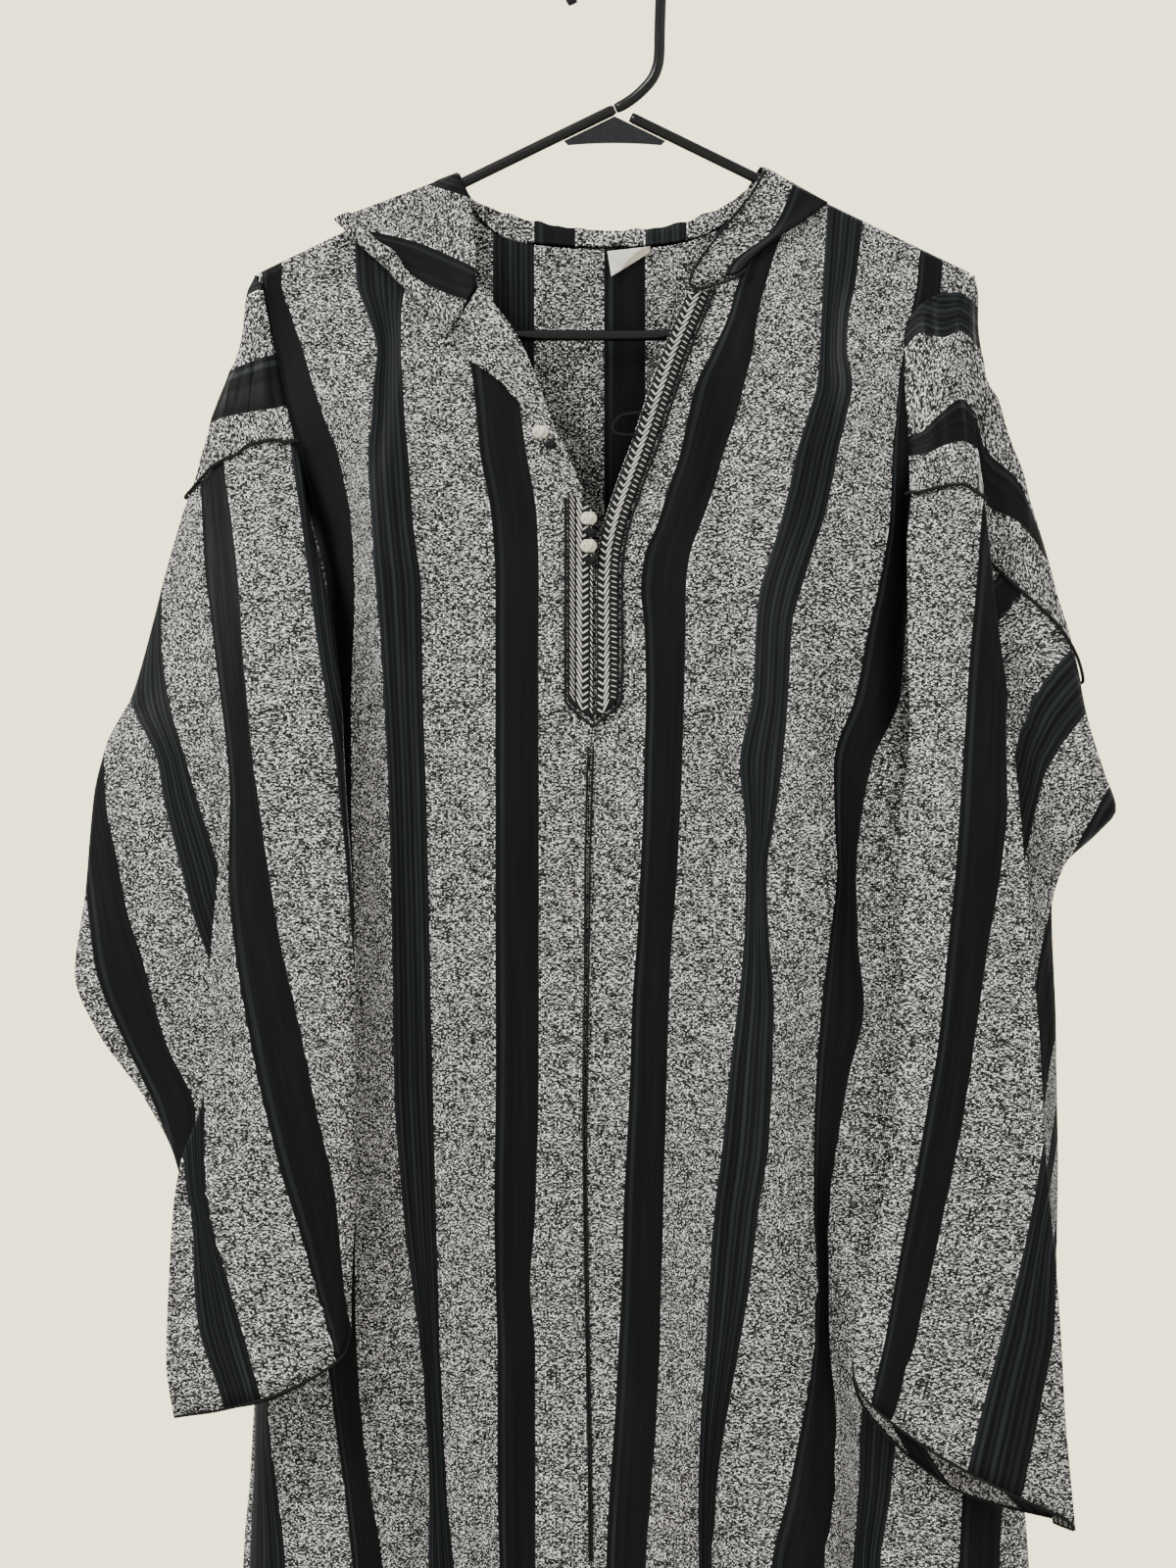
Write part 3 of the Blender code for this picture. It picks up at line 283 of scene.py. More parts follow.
def grid_normals(grid: Grid, closed: bool) -> np.ndarray:
    """Unit normals of a grid of points."""
    if closed:
        across = np.roll(grid, -1, axis=1) - np.roll(grid, 1, axis=1)
    else:
        across = np.gradient(grid, axis=1)
    down = np.gradient(grid, axis=0)
    normal = np.cross(across, down)
    length = np.linalg.norm(normal, axis=2, keepdims=True)
    return normal / np.maximum(length, 1e-9)


def seam_normals(grid: Grid) -> np.ndarray:
    """Normals of a body panel, level where its edge meets the other panel."""
    normals = grid_normals(grid, False)
    at_seam = np.abs(grid[:, :, 1]) < GAP
    normals[at_seam, 1] = 0.0
    return normals / np.maximum(np.linalg.norm(normals, axis=2, keepdims=True), 1e-9)


def drift(x: np.ndarray, z: np.ndarray, width: float, height: float, seed: float) -> np.ndarray:
    """Soft uneven waves from -1 to 1.

    Args:
        x: places across.
        z: heights.
        width: size of a wave across.
        height: size of a wave down.
        seed: picks another pattern.

    Returns:
        The wave at each place.
    """
    flat_x = np.asarray(x, float).ravel()
    flat_z = np.asarray(z, float).ravel()
    out = [noise.noise(Vector((a / width, b / height, seed))) for a, b in zip(flat_x, flat_z)]
    return np.array(out).reshape(np.shape(x))


def mesh_object(
    name: str, points: np.ndarray, faces: list, smooth: Optional[list] = None
) -> bpy.types.Object:
    """Make an object from points in millimetres.

    Args:
        name: the piece's name.
        points: its corners.
        faces: lists of corner numbers.
        smooth: whether each face is shaded smooth; all are if this is left out.

    Returns:
        The new object, linked to the scene.
    """
    mesh = bpy.data.meshes.new(name)
    mesh.from_pydata((np.asarray(points, float) * MM).tolist(), [], faces)
    mesh.polygons.foreach_set("use_smooth", smooth or [True] * len(mesh.polygons))
    mesh.update()
    made = bpy.data.objects.new(name, mesh)
    bpy.context.scene.collection.objects.link(made)
    return made


def tube_points(path: np.ndarray, radius: float | np.ndarray, sides: int, closed: bool) -> tuple:
    """Points and faces of a round section swept along a path.

    Args:
        path: the middle line.
        radius: the section's radius, or one for each point.
        sides: corners of the section.
        closed: whether the path returns to its start.

    Returns:
        The points, and the faces that name them.
    """
    path = np.asarray(path, float)
    n = len(path)
    ahead = np.roll(path, -1, axis=0) - np.roll(path, 1, axis=0) if closed else np.gradient(path, axis=0)
    ahead /= np.linalg.norm(ahead, axis=1, keepdims=True)
    up = np.array([0.0, -1.0, 0.0])
    if abs(ahead[0] @ up) > 0.9:
        up = np.array([0.0, 0.0, 1.0])
    radii = np.broadcast_to(np.asarray(radius, float), (n,))
    angles = 2 * math.pi * np.arange(sides) / sides
    points = []
    for k in range(n):
        up = up - ahead[k] * (up @ ahead[k])
        up /= np.linalg.norm(up)
        side = np.cross(ahead[k], up)
        points.append(path[k] + radii[k] * (np.cos(angles)[:, None] * side + np.sin(angles)[:, None] * up))
    faces = []
    for k in range(n if closed else n - 1):
        a = k * sides
        d = ((k + 1) % n) * sides
        for s in range(sides):
            t = (s + 1) % sides
            faces.append((d + s, d + t, a + t, a + s))
    if not closed:
        faces.append(tuple(range(sides)))
        faces.append(tuple((n - 1) * sides + s for s in reversed(range(sides))))
    return np.concatenate(points), faces


def joined(parts: Sequence[tuple]) -> tuple:
    """Put several sets of points and faces into one."""
    points = []
    faces = []
    start = 0
    for part_points, part_faces in parts:
        points.append(part_points)
        faces.extend(tuple(start + i for i in face) for face in part_faces)
        start += len(part_points)
    return np.concatenate(points), faces


def ellipsoid(centre: np.ndarray, axes: np.ndarray, rings: int, sides: int) -> tuple:
    """Points and faces of a rounded grain.

    Args:
        centre: its middle.
        axes: three half axes as rows, the first along the grain.
        rings: steps from end to end.
        sides: steps around.

    Returns:
        The points, and the faces that name them.
    """
    points = [centre + axes[0]]
    for r in range(1, rings):
        a = math.pi * r / rings
        for s in range(sides):
            b = 2 * math.pi * s / sides
            ring = axes[1] * math.cos(b) + axes[2] * math.sin(b)
            points.append(centre + axes[0] * math.cos(a) + ring * math.sin(a))
    points.append(centre - axes[0])
    faces = []
    last = len(points) - 1
    low = 1 + (rings - 2) * sides
    for s in range(sides):
        t = (s + 1) % sides
        faces.append((0, 1 + s, 1 + t))
        faces.append((last, low + t, low + s))
        for r in range(rings - 2):
            a = 1 + r * sides
            faces.append((a + s, a + sides + s, a + sides + t, a + t))
    return np.array(points), faces


def twisted(path: np.ndarray, radius: float, pitch: float, ply: Ply, closed: bool = False) -> tuple:
    """Strands laid around a path as in a real cord.

    Args:
        path: the cord's middle line.
        radius: the whole cord's radius.
        pitch: length of one turn.
        ply: how many strands.
        closed: whether the cord returns to its start.

    Returns:
        The points, and the faces that name them.
    """
    line = evenly(np.vstack([path, path[:1]]) if closed else path, pitch / 7)
    if closed:
        line = line[:-1]
    ahead = np.roll(line, -1, axis=0) - np.roll(line, 1, axis=0) if closed else np.gradient(line, axis=0)
    ahead /= np.linalg.norm(ahead, axis=1, keepdims=True)
    first = np.array([0.0, -1.0, 0.0])
    side = np.cross(ahead, first)
    side /= np.maximum(np.linalg.norm(side, axis=1, keepdims=True), 1e-6)
    up = np.cross(side, ahead)
    steps = np.linalg.norm(np.diff(line, axis=0), axis=1)
    run = np.concatenate([[0.0], np.cumsum(steps)])
    turns = run / pitch
    if closed:
        turns = np.arange(len(line)) / len(line) * round(run[-1] / pitch)
    strand = radius * (0.52 if ply is Ply.TWO else 0.48)
    parts = []
    for k in range(ply.value):
        angle = 2 * math.pi * (turns + k / ply.value)
        place = line + (radius - strand) * (np.cos(angle)[:, None] * side + np.sin(angle)[:, None] * up)
        parts.append(tube_points(place, strand, 6, closed))
    return joined(parts)


class Graph:
    """Short calls for wiring one finish's nodes."""

    def __init__(self, name: str) -> None:
        """Start a material with only its shader and output."""
        self.material = bpy.data.materials.new(name)
        self.material.use_nodes = True
        self.tree = self.material.node_tree
        self.shader = self.tree.nodes["Principled BSDF"]

    def node(self, kind: str, inputs: Optional[dict] = None, **settings: object) -> bpy.types.Node:
        """Add a node.

        Args:
            kind: its Blender type.
            inputs: socket name or number to a value or another socket.
            settings: its own properties.

        Returns:
            The node.
        """
        made = self.tree.nodes.new(kind)
        for name, value in settings.items():
            setattr(made, name, value)
        for name, value in (inputs or {}).items():
            self.feed(made.inputs[name], value)
        return made

    def feed(self, socket: bpy.types.NodeSocket, value: object) -> None:
        """Link a socket to another one, or set its value."""
        if isinstance(value, bpy.types.NodeSocket):
            self.tree.links.new(value, socket)
        else:
            socket.default_value = value

    def math(self, operation: str, *values: object) -> bpy.types.NodeSocket:
        """The result of one calculation."""
        return self.node("ShaderNodeMath", dict(enumerate(values)), operation=operation).outputs[0]

    def plus(self, first: object, second: object) -> bpy.types.NodeSocket:
        """The sum of two values."""
        return self.math("ADD", first, second)

    def minus(self, first: object, second: object) -> bpy.types.NodeSocket:
        """The first value less the second."""
        return self.math("SUBTRACT", first, second)

    def times(self, first: object, second: object) -> bpy.types.NodeSocket:
        """The product of two values."""
        return self.math("MULTIPLY", first, second)

    def over(self, first: object, second: object) -> bpy.types.NodeSocket:
        """The first value divided by the second."""
        return self.math("DIVIDE", first, second)

    def wave(self, value: object, length: float) -> bpy.types.NodeSocket:
        """A sine wave of a given length."""
        return self.math("SINE", self.times(value, 2 * math.pi / length))

    def settings(self, **values: float) -> None:
        """Set plain values of the shader, such as coat_weight."""
        for name, value in values.items():
            words = name.replace("_", " ").title().replace("Ior", "IOR")
            self.shader.inputs[words].default_value = value

    def combine(self, x: object, y: object, z: object = 0.0) -> bpy.types.NodeSocket:
        """A vector from three numbers."""
        return self.node("ShaderNodeCombineXYZ", {0: x, 1: y, 2: z}).outputs[0]

    def noise(self, place: object, detail: float = 2.0, rough: float = 0.5) -> bpy.types.NodeSocket:
        """Cloudy values around a half at a place."""
        made = self.node("ShaderNodeTexNoise", {"Vector": place, "Scale": 1.0, "Detail": detail})
        made.inputs["Roughness"].default_value = rough
        return made.outputs[0]

    def ramp(
        self, value: object, low: float, high: float, to_low: float = 0.0, to_high: float = 1.0
    ) -> bpy.types.NodeSocket:
        """Map a value smoothly from low..high to to_low..to_high."""
        ends = {0: value, 1: low, 2: high, 3: to_low, 4: to_high}
        return self.node("ShaderNodeMapRange", ends, interpolation_type="SMOOTHSTEP").outputs[0]

    def mix(self, factor: object, first: object, second: object) -> bpy.types.NodeSocket:
        """A colour between two colours."""
        made = self.node("ShaderNodeMix", data_type="RGBA")
        for name, value in (("Factor", factor), ("A", first), ("B", second)):
            kind = "VALUE" if name == "Factor" else "RGBA"
            socket = next(s for s in made.inputs if s.name == name and s.type == kind)
            self.feed(socket, value)
        return next(s for s in made.outputs if s.type == "RGBA")

    def grey(self, value: object, tint: tuple[float, float, float]) -> bpy.types.NodeSocket:
        """A colour from one number and a tint."""
        parts = [self.math("MULTIPLY", value, share) for share in tint]
        return self.node("ShaderNodeCombineColor", dict(enumerate(parts))).outputs[0]

    def bump(self, height: object, strength: float, distance: float) -> None:
        """Raise the surface by a height."""
        values = {"Height": height, "Strength": strength, "Distance": distance * MM}
        made = self.node("ShaderNodeBump", values)
        self.feed(self.shader.inputs["Normal"], made.outputs[0])

    def weave_place(self) -> tuple[bpy.types.NodeSocket, bpy.types.NodeSocket]:
        """Distances in millimetres across and along the cloth's stripes."""
        made = self.node("ShaderNodeUVMap", uv_map=WEAVE_MAP)
        parts = self.node("ShaderNodeSeparateXYZ", {0: made.outputs[0]})
        return self.times(parts.outputs[0], 1.0 / MM), self.times(parts.outputs[1], 1.0 / MM)

    def place(self, scale: float) -> bpy.types.NodeSocket:
        """The point on the object, in units of a size in millimetres."""
        made = self.node("ShaderNodeTexCoord")
        values = {0: made.outputs["Object"], 3: 1.0 / (scale * MM)}
        return self.node("ShaderNodeVectorMath", values, operation="SCALE").outputs[0]


@dataclass(frozen=True)
class StripedCloth:
    """Satin stripes between slub stripes, as the robe's cloth is woven."""

    name: str = "robe_cloth"
    slot: str = "robe_cloth"
    satin: float = 0.0014
    slub_dark: float = 0.006
    slub_light: float = 0.92
    cover: float = 0.486
    rib: float = 1.05
    stripes: bool = True
    rough: float = 0.82
    blur: float = 0.25

    def build(self) -> bpy.types.Material:
        """Wire the finish and return it."""
        g = Graph(self.name)
        u, v = g.weave_place()
        wobble = g.noise(g.combine(g.over(u, 60.0), g.over(v, 22.0)), 2.0)
        shifted = g.plus(u, g.times(g.minus(wobble, 0.5), 0.5))
        phase = g.math("WRAP", shifted, REPEAT, 0.0)
        slub = self.slub_value(g, u, v)
        colour = g.grey(slub, (1.0, 0.995, 0.975))
        rough: object = self.rough
        crown = g.math("COSINE", g.times(u, 2 * math.pi / self.rib))
        height: object = g.minus(g.times(slub, 1.1), g.times(crown, 0.3))
        if self.stripes:
            satin, satin_rough, satin_height = self.satin_values(g, shifted, phase, v)
            start = g.ramp(phase, -self.blur, self.blur)
            mask = g.times(start, g.ramp(phase, SATIN + self.blur, SATIN - self.blur))
            colour = g.mix(mask, colour, g.grey(satin, (0.80, 0.99, 1.12)))
            spread = g.minus(satin_rough, self.rough)
            rough = g.plus(g.times(mask, spread), self.rough)
            other = g.minus(1.0, mask)
            height = g.plus(g.times(other, height), g.times(mask, satin_height))
        g.feed(g.shader.inputs["Base Color"], colour)
        g.feed(g.shader.inputs["Roughness"], rough)
        g.settings(specular_ior_level=0.07, sheen_weight=0.006, sheen_roughness=0.45)
        g.bump(height, 0.55, 0.5)
        return g.material

    def slub_value(self, g: Graph, u: object, v: object) -> bpy.types.NodeSocket:
        """Brightness of the black and white slub yarn.

        Args:
            g: the finish being wired.
            u: distance across the stripes.
            v: distance along them.

        Returns:
            The socket that holds the brightness.
        """
        spot = g.over(u, self.rib)
        number = g.math("FLOOR", spot)
        inside = g.minus(spot, number)
        crown = g.math("SINE", g.times(inside, math.pi))
        shift = g.times(g.noise(g.combine(g.times(number, 3.71), 4.0)), 60.0)
        down = g.plus(v, shift)
        fleck = g.noise(g.combine(g.times(number, 2.63), g.over(down, 1.05)), 1.0, 0.5)
        slub = g.noise(g.combine(g.over(u, 2.6), g.over(down, 5.0), 7.0), 2.0, 0.6)
        patch = g.noise(g.combine(g.over(u, 16.0), g.over(v, 10.0), 3.0), 3.0, 0.6)
        total = g.plus(g.times(fleck, 0.72), g.times(slub, 0.17))
        total = g.plus(total, g.times(patch, 0.11))
        lit = g.math("POWER", g.ramp(total, self.cover - 0.09, self.cover + 0.15), 2.5)
        # Lit flecks fade toward each rib's sides: painted shade in the grooves between the ribs.
        body = g.times(lit, g.plus(g.times(crown, 0.95), 0.05))
        return g.plus(g.times(body, self.slub_light), self.slub_dark)

    def satin_values(self, g: Graph, shifted: object, phase: object, v: object) -> tuple:
        """Brightness, roughness and height of the satin stripes.

        Args:
            g: the finish being wired.
            shifted: distance across the cloth.
            phase: distance across within one repeat.
            v: distance along.

        Returns:
            The three sockets.
        """
        count = g.math("FLOOR", g.over(shifted, REPEAT))
        kind = g.math("WRAP", count, 2.0, 0.0)
        lines = g.wave(phase, 3.1)
        broad = g.wave(phase, 8.3)
        ribbed = g.ramp(g.plus(lines, g.times(broad, 0.8)), -0.7, 1.0)
        edge = g.times(g.ramp(phase, 2.4, 3.0), g.ramp(phase, 5.4, 4.8))
        plain = g.times(edge, 0.8)
        part = g.plus(g.times(kind, ribbed), g.times(g.minus(1.0, kind), plain))
        streak = g.noise(g.combine(g.over(shifted, 3.5), g.over(v, 130.0), 5.0), 3.0, 0.55)
        # Painted sheen: long streaks along the stripes brighten and darken the satin's colour; the same
        # streaks also set its roughness.
        painted_sheen = g.ramp(streak, 0.35, 0.72, 0.75, 1.75)
        bright = g.times(g.plus(g.times(part, 0.0062), self.satin), painted_sheen)
        rough = g.minus(g.ramp(streak, 0.3, 0.75, 0.62, 0.46), g.times(part, 0.06))
        twill = g.wave(g.plus(shifted, v), 0.7)
        raised = g.plus(g.times(part, 0.35), g.times(twill, 0.05))
        return bright, rough, raised


@dataclass(frozen=True)
class CordYarn:
    """Twisted yarn of one colour."""

    name: str
    slot: str
    colour: tuple[float, float, float]
    rough: float = 0.7
    hair: float = 0.35

    def build(self) -> bpy.types.Material:
        """Wire the finish and return it."""
        g = Graph(self.name)
        fibre = g.noise(g.place(0.5), 3.0, 0.65)
        tone = g.noise(g.place(6.0), 2.0)
        strand = g.ramp(fibre, 0.3, 0.7, 1.0 - self.hair, 1.0 + self.hair)
        share = g.times(strand, g.ramp(tone, 0.3, 0.7, 0.85, 1.1))
        g.feed(g.shader.inputs["Base Color"], g.grey(share, self.colour))
        g.feed(g.shader.inputs["Roughness"], g.ramp(fibre, 0.3, 0.7, self.rough - 0.1, self.rough + 0.1))
        g.settings(sheen_weight=0.02, specular_ior_level=0.12)
        g.bump(fibre, 0.5, 0.2)
        return g.material


@dataclass(frozen=True)
class Tape:
    """Plain woven tape of the blank label, with painted shade over its lower right part."""

    name: str = "label_tape"
    slot: str = "label_cloth"
    colour: tuple[float, float, float] = (0.50, 0.485, 0.44)
    # Colour of the painted shade: the same tape drawn darker and warmer.
    painted_shade: tuple[float, float, float] = (0.25, 0.22, 0.17)
    # Where the painted shade starts, in millimetres across the tape along a slanted line.
    fold: float = 22.0

    def build(self) -> bpy.types.Material:
        """Wire the finish and return it."""
        g = Graph(self.name)
        across, down = g.weave_place()
        warp = g.wave(across, 0.6)
        weft = g.wave(down, 0.5)
        cross = g.times(warp, weft)
        tone = g.noise(g.place(7.0), 3.0)
        share = g.plus(g.ramp(tone, 0.3, 0.7, 0.82, 1.05), g.times(cross, 0.04))
        # Painted shade: past the slanted line the tape takes the darker shade colour.
        painted_shade = g.ramp(g.minus(across, g.times(down, 1.1)), self.fold - 0.3, self.fold + 0.3)
        tint = g.mix(painted_shade, g.grey(share, self.colour), g.grey(share, self.painted_shade))
        g.feed(g.shader.inputs["Base Color"], tint)
        g.settings(roughness=0.7, sheen_weight=0.1)
        g.bump(cross, 0.4, 0.12)
        return g.material


@dataclass(frozen=True)
class MouldedPlastic:
    """Glossy moulded plastic of the hanger, with faint flow marks and handling scuffs."""

    name: str
    slot: str = "hanger_plastic"
    colour: tuple[float, float, float] = (0.002, 0.002, 0.0023)
    rough: float = 0.20

    def build(self) -> bpy.types.Material:
        """Wire the finish and return it."""
        g = Graph(self.name)
        scuff = g.noise(g.place(3.0), 5.0, 0.7)
        flow = g.noise(g.place(22.0), 2.0)
        g.feed(g.shader.inputs["Base Color"], g.grey(g.ramp(scuff, 0.45, 0.8, 1.0, 1.7), self.colour))
        worn = g.plus(g.ramp(scuff, 0.5, 0.8, self.rough, self.rough + 0.18), g.times(flow, 0.08))
        g.feed(g.shader.inputs["Roughness"], worn)
        g.settings(specular_ior_level=0.16, coat_weight=0.05, coat_roughness=0.12)
        g.bump(flow, 0.10, 0.3)
        return g.material


@dataclass(frozen=True)
class PlainPaint:
    """Matte paint of the studio floor."""

    name: str = "studio_floor"
    colour: tuple[float, float, float] = (0.55, 0.535, 0.49)

    def build(self) -> bpy.types.Material:
        """Wire the finish and return it."""
        g = Graph(self.name)
        tone = g.ramp(g.noise(g.place(60.0), 4.0), 0.3, 0.7, 0.97, 1.03)
        g.feed(g.shader.inputs["Base Color"], g.grey(tone, self.colour))
        g.settings(roughness=0.85)
        return g.material


@dataclass
class Wardrobe:
    """Every finish, each built once and handed out by name."""

    cloth: StripedCloth = StripedCloth()
    wrong_side: StripedCloth = StripedCloth(
        name="cloth_wrong_side", slot="inner_cloth", slub_light=0.84, cover=0.478, stripes=False
    )
    black: CordYarn = CordYarn("black_cord", "black_cord", (0.004, 0.004, 0.0045))
    white: CordYarn = CordYarn("braid_cream", "braid_cloth", (0.34, 0.335, 0.31), hair=0.2)
    ground: CordYarn = CordYarn("braid_black", "braid_cloth", (0.003, 0.003, 0.0035))
    cream: CordYarn = CordYarn("cream_cord", "cream_cord", (0.46, 0.43, 0.35), hair=0.18)
    tape: Tape = Tape()
    gloss: MouldedPlastic = MouldedPlastic("hanger_gloss")
    web: MouldedPlastic = MouldedPlastic("hanger_web_satin", colour=(0.005, 0.0055, 0.007), rough=0.32)
    made: dict[str, bpy.types.Material] = field(default_factory=dict)

    def dress(self, piece: bpy.types.Object, *finishes: object) -> bpy.types.Object:
        """Give a piece its finishes in order."""
        for finish in finishes:
            if finish.name not in self.made:
                self.made[finish.name] = finish.build()
            piece.data.materials.append(self.made[finish.name])
        return piece


WARDROBE = Wardrobe()


def settle(piece: bpy.types.Object, *nodes: str) -> bpy.types.Object:
    """Let a piece ride with the robe and stand for the named solids."""
    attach(piece, "root")
    if nodes:
        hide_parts(*nodes)
    faces = len(piece.data.polygons)
    LOG.info("%s: %d faces, stands for %s", piece.name, faces, ", ".join(nodes) or "nothing")
    return piece


def cloth_mesh(name: str, grid: Grid, weave: Grid, wall: float = WALL, closed: bool = False,
               normals: Optional[np.ndarray] = None) -> bpy.types.Object:
    """Give a grid of points a wall and lay the weave on it.

    Args:
        name: the piece's name.
        grid: rows and columns of points on the middle of the wall.
        weave: distances across and along the cloth at each point; a closed grid has one more column.
        wall: thickness.
        closed: whether the last column meets the first.
        normals: the wall's direction at each point.

    Returns:
        The new object with its weave map.
    """
    rows, cols = grid.shape[:2]
    if normals is None:
        normals = grid_normals(grid, closed)
    points = np.concatenate([(grid + s * normals * wall / 2).reshape(-1, 3) for s in (1.0, -1.0)])
    count = rows * cols
    last = cols if closed else cols - 1
    r, c = np.meshgrid(np.arange(rows - 1), np.arange(last), indexing="ij")
    r = r.ravel()
    c = c.ravel()
    far = (c + 1) % cols

    weave_far = c + 1 if closed else far
    outer = np.stack([r * cols + c, r * cols + far, (r + 1) * cols + far, (r + 1) * cols + c], axis=1)
    place = np.stack([weave[r, c], weave[r, weave_far], weave[r + 1, weave_far], weave[r + 1, c]], axis=1)
    faces = [outer, outer[:, ::-1] + count]
    places = [place, place[:, ::-1]]
    smooth = [True] * (2 * len(outer))
    rims = []
    for row, flip in ((0, True), (rows - 1, False)):
        k = np.arange(last)
        kf = (k + 1) % cols
        kw = k + 1 if closed else kf
        near = row * cols + k
        far = row * cols + kf
        quad = np.stack([near, far, count + far, count + near], axis=1)
        spot = np.stack([weave[row, k], weave[row, kw], weave[row, kw], weave[row, k]], axis=1)
        rims.append((quad[:, ::-1], spot[:, ::-1]) if flip else (quad, spot))
    if not closed:
        for col, flip in ((0, False), (cols - 1, True)):
            k = np.arange(rows - 1)
            a = k * cols + col
            b = (k + 1) * cols + col
            quad = np.stack([a, b, b + count, a + count], axis=1)
            spot = np.stack([weave[k, col], weave[k + 1, col], weave[k + 1, col], weave[k, col]], axis=1)
            rims.append((quad[:, ::-1], spot[:, ::-1]) if flip else (quad, spot))
    for quad, spot in rims:
        faces.append(quad)
        places.append(spot)
        smooth += [False] * len(quad)
    made = mesh_object(name, points, np.concatenate(faces).tolist(), smooth)
    layer = made.data.uv_layers.new(name=WEAVE_MAP)
    layer.data.foreach_set("uv", (np.concatenate(places).reshape(-1) * MM).astype(np.float32))
    return made


class Surface:
    """The outside of bodies already made, met by looking from one side."""

    def __init__(self, objects: Sequence[bpy.types.Object], from_front: bool = True) -> None:
        """Gather the faces of several pieces."""
        points: list = []
        faces: list = []
        for item in objects:
            start = len(points)
            points.extend(Vector(v.co) / MM for v in item.data.vertices)
            faces.extend(tuple(start + i for i in face.vertices) for face in item.data.polygons)
        self.tree = BVHTree.FromPolygons(points, faces)
        self.sign = -1.0 if from_front else 1.0

    def y_at(self, x: float, z: float, default: Optional[float]) -> Optional[float]:
        """Depth of the first cloth met at x, z, or the default past its edges."""
        start = Vector((x, self.sign * 400.0, z))
        hit = self.tree.ray_cast(start, Vector((0.0, -self.sign, 0.0)))
        return hit[0].y if hit[0] is not None else default

    def nearest(self, x: float, z: float, default: float) -> float:
        """Depth at x, z or, past an edge, at the closest place that has cloth."""
        for reach in (0.0, 2.0, 4.0, 7.0, 11.0):
            for angle in range(8):
                a = angle * math.pi / 4
                y = self.y_at(x + reach * math.cos(a), z + reach * math.sin(a), None)
                if y is not None:
                    return y
        return default


@dataclass(frozen=True)
class StripeField:
    """Where the edges of stripes lie, as rows of a table.

    Each row starts with a height (or a place across, if level) and goes on with where
    each edge lies there; cuts says how far across the cloth each edge is.
    """

    cuts: tuple[float, ...]
    rows: tuple[tuple[float, ...], ...]
    level: bool = False

    def across(self, x: np.ndarray, z: np.ndarray) -> np.ndarray:
        """Distance across the cloth at each place."""
        key = np.asarray(x if self.level else z, float)
        spot = np.asarray(z if self.level else x, float)
        table = np.array(sorted(self.rows))
        edges = np.stack([lookup(table[:, 0], table[:, k + 1], key) for k in range(len(self.cuts))], axis=-1)
        cuts = np.array(self.cuts)
        if edges.reshape(-1, len(cuts))[0, 0] > edges.reshape(-1, len(cuts))[0, -1]:
            edges = edges[..., ::-1]
            cuts = cuts[::-1]
        turn = 1.0 if cuts[-1] > cuts[0] else -1.0
        out = cuts[0] + turn * (spot - edges[..., 0])
        for k in range(len(cuts) - 1):
            inside = spot >= edges[..., k]
            wide = np.maximum(edges[..., k + 1] - edges[..., k], 0.5)
            share = (spot - edges[..., k]) / wide
            out = np.where(inside, cuts[k] + share * (cuts[k + 1] - cuts[k]), out)
        beyond = spot >= edges[..., -1]
        return np.where(beyond, cuts[-1] + turn * (spot - edges[..., -1]), out)


DEPTHS = [
    Depth(-150, 6, 6),
    Depth(-200, 13, 12),
    Depth(-260, 19, 17),
    Depth(-330, 24, 22),
    Depth(-450, 29, 26),
    Depth(-700, 31, 29),
    Depth(-950, 34, 32),
    Depth(HEM, 40, 38),
]

EDGES = [
    Edge(-194, -207.0, 207.0),
    Edge(-206, -206.2, 202.0),
    Edge(-215, -206.0, 193.0),
    Edge(-230, -202.5, 183.0),
    Edge(-245, -199.0, 177.0),
    Edge(-265, -195.0, 175.0),
    Edge(-285, -188.4, 175.0),
    Edge(-300, -185.2, 175.5),
    Edge(-330, -179.8, 176.0),
    Edge(-360, -173.5, 176.0),
    Edge(-400, -172.0, 175.0),
    Edge(-460, -176.0, 177.0),
    Edge(-540, -187.0, 188.0),
    Edge(-650, -200.0, 206.0),
    Edge(-800, -207.0, 222.0),
    Edge(-900, -212.0, 236.0),
    Edge(-950, -216.0, 241.0),
    Edge(-1200, -226.0, 254.0),
    Edge(HEM, -236.0, 264.0),
]

LEFT_INNER = [
    Point(-92.0, -138), Point(-87.0, -150), Point(-85.0, -165), Point(-84.0, -182),
    Point(-83.0, -197), Point(-72.0, -212), Point(-60.0, -228), Point(-50.0, -248),
    Point(-38.0, -280), Point(-27.0, -305), Point(-17.0, -330), Point(-12.4, -350),
    Point(-11.6, -380), Point(-11.6, -440), Point(-14.0, -470), Point(-15.6, -520),
    Point(-17.0, -640), Point(-17.6, -700), Point(-16.5, -780), Point(-15.0, -860),
    Point(-14.0, -940), Point(-12.0, -1200), Point(-10.0, HEM),
]

RIGHT_INNER = [
    Point(86.0, -135), Point(79.0, -149), Point(66.0, -170), Point(52.0, -188),
    Point(43.0, -204), Point(36.0, -220), Point(27.0, -242), Point(18.0, -268),
    Point(9.0, -295), Point(0.0, -320), Point(-7.0, -342), Point(-10.6, -362),
    Point(-11.2, -390), Point(-11.2, -440), Point(-13.6, -470), Point(-15.2, -520),
    Point(-16.6, -640), Point(-17.2, -700), Point(-16.1, -780), Point(-14.6, -860),
    Point(-13.6, -940), Point(-11.6, -1200), Point(-9.6, HEM),
]

BACK_NECK = [
    Point(-92.0, -144), Point(-84.0, -158), Point(-70.0, -170), Point(-45.0, -177), Point(-10.0, -179),
    Point(25.0, -178), Point(52.0, -172), Point(70.0, -160), Point(86.0, -141),
]

